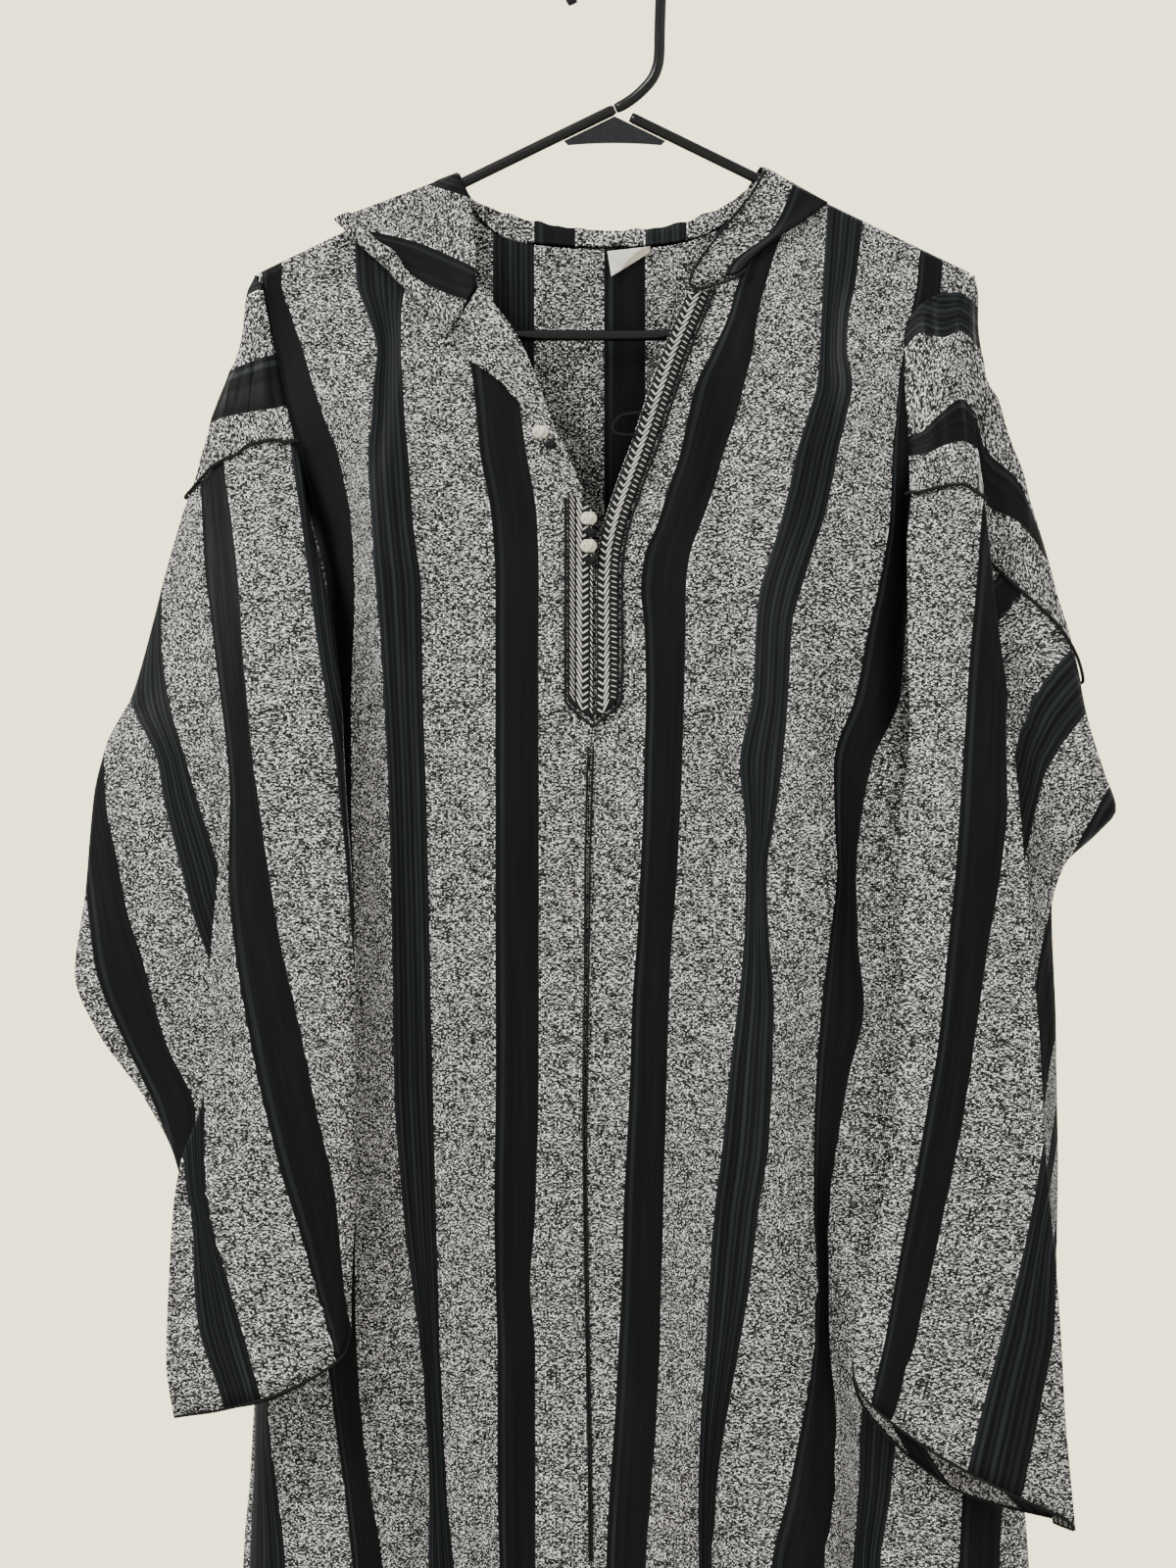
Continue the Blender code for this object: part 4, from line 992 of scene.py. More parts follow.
FRONT_FOLDS = [
    Fold("left shoulder ridge", -150, -200, -118, -420, 26, 6.0),
    Fold("left shoulder hollow", -128, -190, -140, -330, 13, -4.0),
    Fold("left hip ridge", -84, -560, -80, HEM, 30, 7.0),
    Fold("left hip hollow", -104, -760, -104, HEM, 20, -10.0),
    Fold("left side ridge", -150, -840, -156, HEM, 26, 8.0),
    Fold("left side hollow", -192, -860, -196, HEM, 16, -6.0),
    Fold("right shoulder hollow", 128, -170, 122, -290, 14, -5.0),
    Fold("right chest ridge", 104, -240, 106, -620, 30, 8.0),
    Fold("right chest hollow", 62, -230, 74, -560, 22, -4.0),
    Fold("right waist hollow", 84, -500, 80, -590, 14, -6.0),
    Fold("right waist ridge", 118, -480, 122, -600, 16, 5.0),
    Fold("right hip ridge", 92, -600, 92, -860, 26, 5.0),
    Fold("right edge hollow", 124, -690, 136, -860, 16, -8.0),
    Fold("right knee ridge", 22, -820, 26, HEM, 30, 7.0),
    Fold("right knee hollow", 62, -820, 66, HEM, 20, -10.0),
    Fold("right low ridge", 108, -860, 110, HEM, 24, 8.0),
    Fold("right low hollow", 140, -870, 146, HEM, 16, -9.0),
    Fold("right side ridge", 196, -860, 200, HEM, 26, 7.0),
]

BACK_FOLDS = [
    Fold("back left ridge", -120, -300, -140, HEM, 42, 8.0),
    Fold("back left hollow", -60, -420, -70, HEM, 36, -7.0),
    Fold("back middle ridge", 10, -380, 5, HEM, 44, 7.0),
    Fold("back right hollow", 76, -420, 84, HEM, 36, -8.0),
    Fold("back right ridge", 134, -300, 156, HEM, 42, 8.0),
]

# Left and right edges of the left front's satin stripes, outermost first.
LEFT_STRIPES = StripeField(
    cuts=(-195.0, -171.0, -130.0, -106.0, -65.0, -41.0, 0.0, 24.0),
    rows=(
        (-150, -262, -240, -205, -190, -152, -124, -100, -88),
        (-200, -262, -240, -205, -194, -150, -122, -90, -66),
        (-220, -258, -236, -202, -188, -143, -124, -88, -61),
        (-240, -254, -232, -200, -181, -138, -124, -85, -57),
        (-260, -250, -228, -196, -175, -140, -123, -82, -56),
        (-280, -246, -222, -192, -168, -141, -122, -80, -54),
        (-300, -242, -218, -187, -160, -143, -120, -78, -51),
        (-340, -234, -210, -175, -152, -141, -117, -71, -45),
        (-380, -226, -204, -166, -150, -138, -112, -69, -44),
        (-440, -222, -200, -172, -152, -134, -111, -69, -44),
        (-500, -222, -200, -172, -152, -131, -109, -69, -44),
        (-580, -222, -198, -170, -150, -129, -107, -69, -44),
        (-660, -220, -196, -170, -150, -128, -105, -69, -44),
        (-740, -216, -200, -168, -150, -122, -103, -70, -46),
        (-780, -214, -200, -168, -150, -117, -102, -69, -49),
        (-820, -211, -200, -166, -149, -112, -101, -68, -46),
        (-860, -208, -200, -161, -146, -109, -99, -68, -46),
        (-900, -209, -195, -155, -141, -107, -97, -68, -46),
        (-948, -211, -190, -151, -134, -108, -92, -67, -46),
        (-1200, -216, -194, -156, -134, -108, -88, -66, -44),
        (HEM, -224, -200, -160, -136, -110, -86, -64, -40),
    ),
)

# The same for the right front, innermost first.
RIGHT_STRIPES = StripeField(
    cuts=(0.0, 24.0, 65.0, 89.0, 130.0, 154.0, 195.0, 219.0, 260.0, 284.0),
    rows=(
        (-150, 92, 104, 124, 146, 180, 192, 222, 246, 286, 310),
        (-200, 72, 88, 121, 140, 176, 190, 222, 246, 286, 310),
        (-220, 66, 83, 120, 136, 172, 186, 218, 242, 282, 306),
        (-240, 57, 80, 119, 135, 168, 180, 214, 238, 280, 304),
        (-260, 47, 75, 117, 138, 165, 174, 210, 234, 276, 300),
        (-280, 42, 70, 111, 134, 163, 171, 208, 232, 274, 298),
        (-300, 38, 63, 105, 129, 161, 172, 206, 230, 272, 296),
        (-320, 31, 57, 101, 125, 160, 172, 206, 230, 272, 296),
        (-340, 25, 50, 96, 120, 159, 172, 206, 230, 272, 296),
        (-360, 17, 43, 90, 113, 156, 171, 206, 230, 272, 296),
        (-380, 15, 41, 84, 107, 152, 170, 206, 230, 272, 296),
        (-400, 17, 41, 82, 102, 147, 168, 206, 230, 272, 296),
        (-440, 18, 40, 80, 100, 139, 165, 206, 230, 272, 296),
        (-480, 17, 39, 72, 97, 126, 148, 206, 230, 272, 296),
        (-520, 16, 37, 76, 91, 127, 141, 184, 210, 250, 274),
        (-540, 15, 36, 76, 88, 128, 139, 182, 206, 248, 272),
        (-580, 13, 33, 75, 89, 124, 140, 180, 204, 246, 270),
        (-620, 10, 31, 71, 92, 119, 144, 180, 204, 246, 270),
        (-660, 9, 30, 66, 91, 116, 135, 178, 202, 244, 268),
        (-700, 7, 29, 62, 89, 115, 128, 172, 196, 238, 262),
        (-740, 5, 28, 57, 83, 115, 123, 166, 190, 232, 256),
        (-780, 4, 27, 54, 78, 117, 122, 160, 184, 226, 250),
        (-820, 2, 26, 52, 71, 115, 124, 150, 166, 212, 234),
        (-860, 0, 24, 49, 64, 108, 128, 141, 163, 204, 226),
        (-900, -3, 21, 48, 58, 100, 127, 140, 159, 200, 224),
        (-948, -5, 18, 49, 55, 90, 120, 137, 153, 198, 222),
        (-1200, -6, 18, 52, 66, 98, 122, 144, 164, 204, 228),
        (HEM, -6, 18, 56, 78, 104, 128, 152, 174, 212, 236),
    ),
)

BODY_ROWS = [
    0.0, 0.0006, 0.0018, 0.0042, 0.011, 0.026, 0.050, 0.080, 0.115, 0.150, 0.190,
    0.235, 0.285, 0.340, 0.400, 0.460, 0.520, 0.600, 0.720, 0.860, 1.0,
]


def shoulder_z(x: np.ndarray) -> np.ndarray:
    """Height of the cloth's middle over the hanger arm."""
    return APEX - SLOPE * np.abs(x) + SHOULDER_ROLL


def fold_height(folds: Sequence[Fold], x: np.ndarray, z: np.ndarray) -> np.ndarray:
    """Add up how far the folds stand out at each place."""
    total = np.zeros(np.shape(x))
    for fold in folds:
        run = np.clip((fold.z_top - z) / (fold.z_top - fold.z_low), 0.0, 1.0)
        middle = fold.x_top + (fold.x_low - fold.x_top) * run
        fade = smooth_step(-z, -fold.z_top, -fold.z_top + 70.0)
        if fold.z_low > HEM + 1:
            fade = fade * (1.0 - smooth_step(-z, -fold.z_low - 60.0, -fold.z_low))
        across = np.minimum(np.abs(x - middle) / fold.half_width, 1.0)
        total = total + fold.height * fade * (0.5 + 0.5 * np.cos(math.pi * across))
    return total


def body_y(x: np.ndarray, z: np.ndarray, front: bool, lift: float = 0.0, creased: bool = False) -> np.ndarray:
    """Depth of the body cloth's middle, or of what lies on it by lift.

    Args:
        x: places across.
        z: heights.
        front: the front panels, or the back one.
        lift: how far above the cloth.
        creased: whether small waves and pressed creases are added.

    Returns:
        The depth at each place.
    """
    x = np.asarray(x, float)
    z = np.asarray(z, float)
    full = lookup(column(DEPTHS, "z"), column(DEPTHS, "front" if front else "back"), z)
    below = np.maximum(shoulder_z(x) + lift - z, 0.0)
    radius = SHOULDER_ROLL + lift
    roll = radius * np.sqrt(1.0 - (1.0 - np.minimum(below / radius, 1.0)) ** 2)
    grown = roll + (full - SHOULDER_ROLL) * smooth_step(below, lift, 120.0 + lift)
    left = lookup(column(EDGES, "z"), column(EDGES, "left"), z)
    right = lookup(column(EDGES, "z"), column(EDGES, "right"), z)
    from_side = np.maximum(np.abs(np.where(x < 0, left, right)) - np.abs(x), 0.0)
    calm = smooth_step(from_side, 4.0, 40.0) * smooth_step(below, 4.0, 60.0)
    grown = grown + fold_height(FRONT_FOLDS if front else BACK_FOLDS, x, z) * calm
    if creased:
        grown = grown + small_waves(x, z, front) * calm * smooth_step(np.abs(x + 14.0), 3.0, 26.0)
    closing = smooth_step(-z, 292.0, 352.0)
    reach = np.maximum(full, 12.0)
    round_side = np.sqrt(np.maximum(1.0 - (1.0 - np.minimum(from_side / reach, 1.0)) ** 2, 0.0))
    depth = np.maximum(grown * ((1.0 - closing) + closing * round_side), GAP / 2)
    return -depth if front else depth


class Crease(NamedTuple):
    """A crease pressed across the cloth: its height at x = 0, its slope and its depth."""

    z: float
    tilt: float
    depth: float


CREASES = (Crease(-572.0, 0.05, 0.9), Crease(-592.0, -0.06, 0.6), Crease(-886.0, 0.02, 0.7))
CREASE_WIDTH = 3.2


def small_waves(x: np.ndarray, z: np.ndarray, front: bool) -> np.ndarray:
    """Slack ripples that run down the cloth, and the creases pressed across it."""
    seed = 3.0 if front else 11.0
    out = 1.5 * drift(x, z, 26.0, 150.0, seed) + 0.7 * drift(x, z, 11.0, 60.0, seed + 2.0)
    for crease in CREASES:
        away = (z - crease.z - crease.tilt * x) / CREASE_WIDTH
        patch = smooth_step(drift(x, z * 0.0, 45.0, 1.0, crease.z), -0.25, 0.15)
        out = out - crease.depth * np.exp(-away * away) * patch
    return out


@dataclass
class Body:
    """The two fronts and the back."""

    row_steps: int = 10
    column_count: int = 60
    fronts: list[bpy.types.Object] = field(default_factory=list)
    back: Optional[bpy.types.Object] = None

    def side_curve(self, side: Side) -> np.ndarray:
        """The body's outer edge from the hanger's end to the hem."""
        return spline([(getattr(row, side.name.lower()), row.z) for row in EDGES], 4)

    def inner_curve(self, side: Side) -> np.ndarray:
        """The front's inner edge from the neck's side to the hem."""
        points = [tuple(p) for p in (LEFT_INNER if side is Side.LEFT else RIGHT_INNER)]
        points[0] = (points[0][0], float(shoulder_z(points[0][0])))
        return spline(points, 4)

    def fill(self, top: np.ndarray, left: np.ndarray, right: np.ndarray, columns: np.ndarray) -> np.ndarray:
        """Fill the edges of a panel, whose hem is straight, with a grid of x and z."""
        rows = refine(BODY_ROWS, self.row_steps)
        low = np.array([left[-1], right[-1]])
        a = along(top, columns)[None]
        b = along(low, columns)[None]
        c = along(left, rows)[:, None]
        d = along(right, rows)[:, None]
        s = columns[None, :, None]
        t = rows[:, None, None]
        corners = (1 - s) * (1 - t) * a[:, :1] + s * (1 - t) * a[:, -1:]
        corners = corners + (1 - s) * t * b[:, :1] + s * t * b[:, -1:]
        return (1 - t) * a + t * b + (1 - s) * c + s * d - corners

    def build_front(self, side: Side) -> bpy.types.Object:
        """Make one front, with its stripes where the folds show them."""
        inner = self.inner_curve(side)
        reach = np.linspace(abs(inner[0][0]), HANGER_END, 12)
        top = np.stack([side.sign * reach, shoulder_z(reach)], axis=1)
        columns = np.linspace(0.0, 1.0, self.column_count)
        columns = np.sort(np.concatenate([columns, [0.003, 0.008, 0.985, 0.993, 0.997]]))
        flat = self.fill(top, inner, self.side_curve(side), columns)
        x = flat[..., 0]
        z = np.minimum(flat[..., 1], shoulder_z(x))
        grid = np.stack([x, body_y(x, z, True, creased=True), z], axis=-1)
        if side is Side.LEFT:
            grid = grid[:, ::-1]
        stripes = LEFT_STRIPES if side is Side.LEFT else RIGHT_STRIPES
        weave = np.stack([stripes.across(grid[..., 0], grid[..., 2]), grid[..., 2]], axis=-1)
        name = "front_" + side.value
        piece = cloth_mesh(name + "_cloth", grid, weave, normals=seam_normals(grid))
        WARDROBE.dress(settle(piece, name), WARDROBE.cloth)
        self.fronts.append(piece)
        return piece

    def build_back(self) -> bpy.types.Object:
        """Make the back from shoulder to shoulder and neck to hem."""
        left_reach = np.linspace(-HANGER_END, -96.0, 12)
        right_reach = np.linspace(90.0, HANGER_END, 12)
        neck = [tuple(p) for p in BACK_NECK]
        neck[0] = (neck[0][0], float(shoulder_z(neck[0][0])))
        neck[-1] = (neck[-1][0], float(shoulder_z(neck[-1][0])))
        top = np.concatenate([
            np.stack([left_reach, shoulder_z(left_reach)], axis=1),
            spline(neck, 3),
            np.stack([right_reach, shoulder_z(right_reach)], axis=1),
        ])
        steps = np.linalg.norm(np.diff(top, axis=0), axis=1)
        run = np.concatenate([[0.0], np.cumsum(steps)])
        extra = [0.002, 0.004, 0.996, 0.998]
        for corner, turn in ((12, 1.0), (len(top) - 13, -1.0)):
            extra += [(run[corner] + turn * reach) / run[-1] for reach in (0.0, 1.2, 3.2, 6.5)]
        columns = np.unique(np.concatenate([np.linspace(0.0, 1.0, 2 * self.column_count - 20), extra]))
        flat = self.fill(top, self.side_curve(Side.LEFT), self.side_curve(Side.RIGHT), columns)
        x = flat[..., 0]
        z = np.minimum(flat[..., 1], shoulder_z(x))
        grid = np.stack([x, body_y(x, z, False, creased=True), z], axis=-1)[:, ::-1]
        weave = np.stack([grid[..., 0] + 6.0, grid[..., 2]], axis=-1)
        piece = cloth_mesh("back_cloth", grid, weave, normals=seam_normals(grid))
        WARDROBE.dress(settle(piece, "back"), WARDROBE.cloth)
        self.back = piece
        return piece

    def build(self) -> None:
        """Make the three panels."""
        self.build_front(Side.LEFT)
        self.build_front(Side.RIGHT)
        self.build_back()


RINGS_L = [
    Ring(-196, -207.2, -4.2, -207.5, -3.0, -208.0, -2.6, -209.2, 0.0, -3.6, 3.4),
    Ring(-204, -205.4, -9.2, -210.0, -6.4, -211.2, -4.8, -213.2, 0.0, -8.0, 7.6),
    Ring(-215, -203.4, -9.6, -210.5, -9.0, -212.8, -7.6, -214.8, -1.0, -11.5, 9.4),
    Ring(-230, -200.2, -10.8, -211.0, -13.0, -214.6, -11.0, -216.4, -1.5, -15.0, 12.0),
    Ring(-245, -196.6, -13.6, -213.0, -16.0, -218.0, -13.0, -220.6, -2.0, -19.0, 15.0),
    Ring(-265, -192.6, -18.0, -217.0, -20.0, -223.6, -16.0, -229.2, -3.0, -24.0, 18.0),
    Ring(-290, -186.6, -26.0, -221.0, -24.0, -229.0, -19.0, -237.2, -4.0, -29.0, 19.0),
    Ring(-310, -181.6, -30.0, -223.0, -28.0, -232.0, -23.0, -242.2, -5.0, -33.0, 13.0),
    Ring(-335, -177.0, -31.0, -225.0, -33.0, -235.0, -28.0, -250.7, -7.0, -39.0, 8.0),
    Ring(-365, -170.0, -38.0, -227.0, -40.0, -238.0, -35.0, -258.7, -11.0, -47.0, 2.0),
    Ring(-400, -162.5, -46.0, -228.0, -48.0, -240.0, -43.0, -267.2, -15.0, -55.0, -8.0),
    Ring(-440, -158.0, -51.0, -227.0, -56.0, -237.0, -51.0, -277.7, -21.0, -62.0, -18.0),
    Ring(-470, -156.5, -54.0, -223.5, -60.0, -226.0, -54.0, -292.7, -27.0, -66.0, -27.0),
    Ring(-500, -154.5, -56.0, -224.0, -63.0, -213.0, -55.5, -299.0, -31.0, -68.0, -34.0),
    Ring(-550, -151.5, -58.0, -227.0, -66.0, -205.0, -57.5, -302.4, -35.0, -71.0, -40.0),
    Ring(-600, -149.8, -60.0, -230.0, -69.0, -205.0, -60.0, -308.5, -38.0, -74.0, -44.0),
    Ring(-632, -149.5, -61.0, -231.2, -71.0, -208.0, -62.0, -297.0, -41.0, -75.0, -47.0),
    Ring(-670, -149.5, -62.0, -234.0, -73.0, -212.0, -64.0, -270.6, -46.0, -77.0, -48.0),
    Ring(-706, -149.0, -63.0, -246.0, -74.0, -224.0, -65.5, -252.0, -53.0, -78.0, -49.0),
    Ring(-735, -149.5, -63.5, -250.8, -74.0, -229.0, -66.0, -246.0, -56.0, -79.0, -49.5),
    Ring(-790, -151.5, -64.0, -254.2, -75.0, -233.0, -67.0, -249.0, -57.0, -80.0, -50.0),
    Ring(-820, -151.5, -64.5, -255.0, -75.0, -235.0, -67.0, -249.0, -57.0, -81.0, -50.0),
    Ring(-856, -151.0, -65.0, -250.0, -75.0, -235.0, -67.0, -244.0, -57.0, -81.0, -50.0),
]
RINGS_R = [
    Ring(-196, 207.2, -6.4, 207.5, -4.6, 208.0, -3.6, 209.2, 0.0, -6.6, 3.4),
    Ring(-204, 196.0, -10.2, 207.0, -7.6, 208.0, -5.0, 210.8, 0.0, -9.4, 7.6),
    Ring(-212, 180.0, -10.4, 206.0, -10.6, 207.0, -8.6, 211.0, -0.5, -12.5, 9.0),
    Ring(-222, 171.4, -11.4, 205.0, -14.0, 207.0, -11.0, 211.0, -1.0, -16.0, 10.6),
    Ring(-240, 168.8, -14.6, 205.0, -19.0, 207.5, -14.5, 212.4, -2.0, -22.0, 14.4),
    Ring(-262, 169.0, -20.0, 206.0, -25.0, 206.0, -18.0, 219.8, -3.0, -28.5, 18.0),
    Ring(-290, 170.6, -25.4, 208.5, -30.0, 205.0, -22.0, 229.8, -4.0, -33.5, 19.0),
    Ring(-318, 171.0, -30.0, 211.5, -34.5, 204.0, -26.5, 239.2, -5.0, -38.0, 13.0),
    Ring(-345, 169.5, -36.0, 214.0, -39.5, 204.0, -31.5, 246.7, -8.0, -44.0, 7.0),
    Ring(-380, 169.3, -42.0, 217.0, -46.5, 206.0, -38.5, 256.2, -13.0, -51.5, 2.0),
    Ring(-420, 169.3, -48.0, 221.0, -53.0, 209.0, -45.0, 266.7, -19.0, -58.0, -6.0),
    Ring(-455, 169.6, -52.0, 225.5, -58.0, 213.0, -50.0, 273.7, -24.0, -63.0, -15.0),
    Ring(-485, 168.0, -55.0, 228.5, -61.5, 216.0, -53.5, 282.2, -29.0, -67.0, -24.0),
    Ring(-506, 165.0, -57.0, 230.2, -63.5, 218.0, -55.5, 288.4, -32.0, -69.0, -31.0),
    Ring(-520, 164.2, -58.0, 231.4, -65.0, 220.0, -57.0, 277.0, -35.0, -70.0, -35.0),
    Ring(-538, 163.8, -59.0, 232.8, -66.0, 221.0, -58.0, 258.0, -39.0, -71.0, -39.0),
    Ring(-565, 163.8, -60.0, 236.4, -68.0, 225.0, -60.0, 250.4, -42.0, -73.0, -43.0),
    Ring(-620, 163.6, -61.5, 240.0, -70.0, 229.0, -62.0, 252.6, -45.0, -75.0, -47.0),
    Ring(-690, 159.6, -63.0, 244.0, -72.0, 233.0, -64.0, 253.4, -47.0, -77.0, -48.5),
    Ring(-750, 150.0, -64.0, 249.0, -73.5, 238.0, -65.5, 252.6, -49.0, -79.0, -49.5),
    Ring(-800, 138.8, -65.0, 252.6, -74.5, 242.0, -66.5, 251.4, -52.0, -81.0, -50.0),
    Ring(-850, 134.0, -66.0, 255.4, -75.5, 245.0, -67.5, 252.4, -55.0, -83.0, -50.5),
    Ring(-918, 130.0, -67.0, 261.4, -76.5, 251.0, -68.5, 256.4, -57.0, -85.0, -51.0),
]

SEAMS_L = [
    Seam("inner", -199.6, -294.0, -800.0),
    Seam("inner_front", -199.0, -294.0, -818.0),
    Seam("front_a", -198.4, -293.0, -836.0),
    Seam("front_b", -197.4, -296.0, -846.0),
    Seam("fold_front", -196.8, -300.0, -850.0),
    Seam("fold", -196.5, -303.0, -851.0),
    Seam("fold_back", -196.3, -305.0, -850.0),
    Seam("tuck", -196.0, -308.0, -849.0),
    Seam("tuck_back", -195.7, -311.0, -849.0),
    Seam("outer_front", -195.2, -317.0, -850.0),
    Seam("outer", -195.0, -325.0, -851.0),
    Seam("outer_back", -195.4, -322.0, -850.0),
    Seam("back_mid", -197.0, -308.0, -844.0),
    Seam("back_inner", -199.0, -297.0, -822.0),
]
SEAMS_R = [
    Seam("inner", -199.6, -324.0, -815.0),
    Seam("inner_front", -199.0, -323.6, -838.0),
    Seam("front_a", -198.4, -321.0, -868.0),
    Seam("front_b", -197.4, -319.0, -892.0),
    Seam("fold_front", -196.8, -322.0, -908.0),
    Seam("fold", -196.5, -327.0, -915.0),
    Seam("fold_back", -196.3, -334.0, -914.0),
    Seam("tuck", -196.0, -345.0, -912.0),
    Seam("tuck_back", -195.7, -356.0, -912.0),
    Seam("outer_front", -195.2, -396.0, -913.0),
    Seam("outer", -195.0, -430.0, -914.0),
    Seam("outer_back", -195.4, -424.0, -912.0),
    Seam("back_mid", -197.0, -372.0, -894.0),
    Seam("back_inner", -199.0, -330.0, -848.0),
]

# Columns of an arm's section: the front layer ends at the fold, the outer one starts at the tuck.
FOLD_SPAN = 5
TUCK_SPAN = 7
OUTER_SPAN = 10

SLEEVE_FRONT_L = StripeField(
    cuts=(-65.0, -41.0, 0.0, 24.0, 65.0, 89.0),
    rows=(
        (-290, -300, -280, -242, -230, -188, -170),
        (-305, -300, -280, -240, -227, -186, -168),
        (-340, -296, -276, -238, -221, -181, -166),
        (-380, -288, -264, -235, -216, -175, -160),
        (-420, -276, -256, -229, -213, -169, -155),
        (-480, -264, -246, -221, -207, -160, -140),
        (-500, -262, -242, -220, -204, -158, -138),
        (-540, -260, -240, -221, -198, -154, -134),
        (-580, -258, -238, -218, -191, -151, -130),
        (-640, -252, -234, -208, -177, -147, -126),
        (-680, -248, -234, -199, -169, -138, -118),
        (-720, -244, -234, -188, -160, -128, -108),
        (-740, -240, -231, -181, -158, -124, -104),
        (-780, -239, -219, -169, -155, -120, -100),
        (-800, -237, -213, -163, -152, -118, -98),
        (-840, -224, -202, -153, -140, -106, -88),
        (-860, -219, -197, -149, -134, -100, -82),
    ),
)
SLEEVE_OUTER_L = StripeField(
    cuts=(-130.0, -106.0, -65.0, -41.0, 0.0, 24.0),
    rows=(
        (-290, -340, -318, -290, -268, -242, -230),
        (-340, -330, -310, -280, -262, -238, -221),
        (-380, -325, -306, -276, -262, -235, -216),
        (-405, -322, -304, -274, -262, -228, -212),
        (-440, -318, -300, -280, -257, -224, -208),
        (-480, -312, -294, -262, -246, -214, -200),
        (-500, -309, -293, -259, -240, -206, -190),
        (-540, -305, -285, -249, -227, -190, -170),
        (-560, -303, -281, -244, -222, -184, -164),
        (-600, -298, -268, -230, -208, -170, -150),
        (-640, -281, -257, -218, -196, -160, -140),
        (-680, -262, -240, -202, -180, -146, -126),
        (-700, -256, -241, -200, -178, -144, -124),
        (-860, -256, -241, -200, -178, -144, -124),
    ),
)
SLEEVE_FRONT_R = StripeField(
    cuts=(0.0, 24.0, 65.0, 89.0),
    rows=(
        (-310, 214, 237, 274, 296),
        (-340, 211, 235, 270, 292),
        (-380, 207, 231, 266, 288),
        (-420, 203, 226, 264, 286),
        (-460, 200, 224, 262, 284),
        (-500, 197, 224, 262, 284),
        (-540, 194, 220, 260, 282),
        (-580, 190, 213, 254, 278),
        (-640, 184, 204, 250, 272),
        (-680, 177, 198, 246, 268),
        (-720, 170, 190, 240, 258),
        (-760, 162, 181, 232, 251),
        (-800, 155, 172, 221, 250),
        (-840, 147, 160, 210, 243),
        (-880, 138, 150, 200, 235),
        (-918, 130, 141, 192, 226),
    ),
)
SLEEVE_OUTER_R = StripeField(
    level=True,
    cuts=(24.0, 65.0, 89.0, 130.0, 154.0),
    rows=(
        (205, -410, -510, -620, -760, -860),
        (220, -397, -490, -585, -720, -820),
        (228, -388, -478, -560, -690, -800),
        (235, -379, -452, -537, -640, -740),
        (245, -366, -434, -491, -580, -680),
        (256, -352, -421, -471, -545, -620),
        (273, -330, -404, -449, -512, -560),
        (292, -306, -380, -425, -480, -530),
    ),
)
DROP_L = StripeField(
    level=True,
    cuts=(0.0, 24.0),
    rows=((-262, -272, -300), (-232, -253, -281), (-220, -250, -278), (-200, -243, -275), (-180, -238, -271)),
)
DROP_R = StripeField(
    level=True,
    cuts=(-65.0, -41.0, 0.0, 24.0),
    rows=(
        (167, -208, -241, -294, -301),
        (178, -202, -230, -288, -301),
        (190, -206, -233, -276, -296),
        (200, -206, -229, -269, -294),
        (209, -212, -236, -280, -298),
        (213, -216, -239, -295, -329),
        (234, -246, -270, -316, -340),
        (250, -270, -294, -354, -360),
        (270, -300, -324, -384, -404),
    ),
)


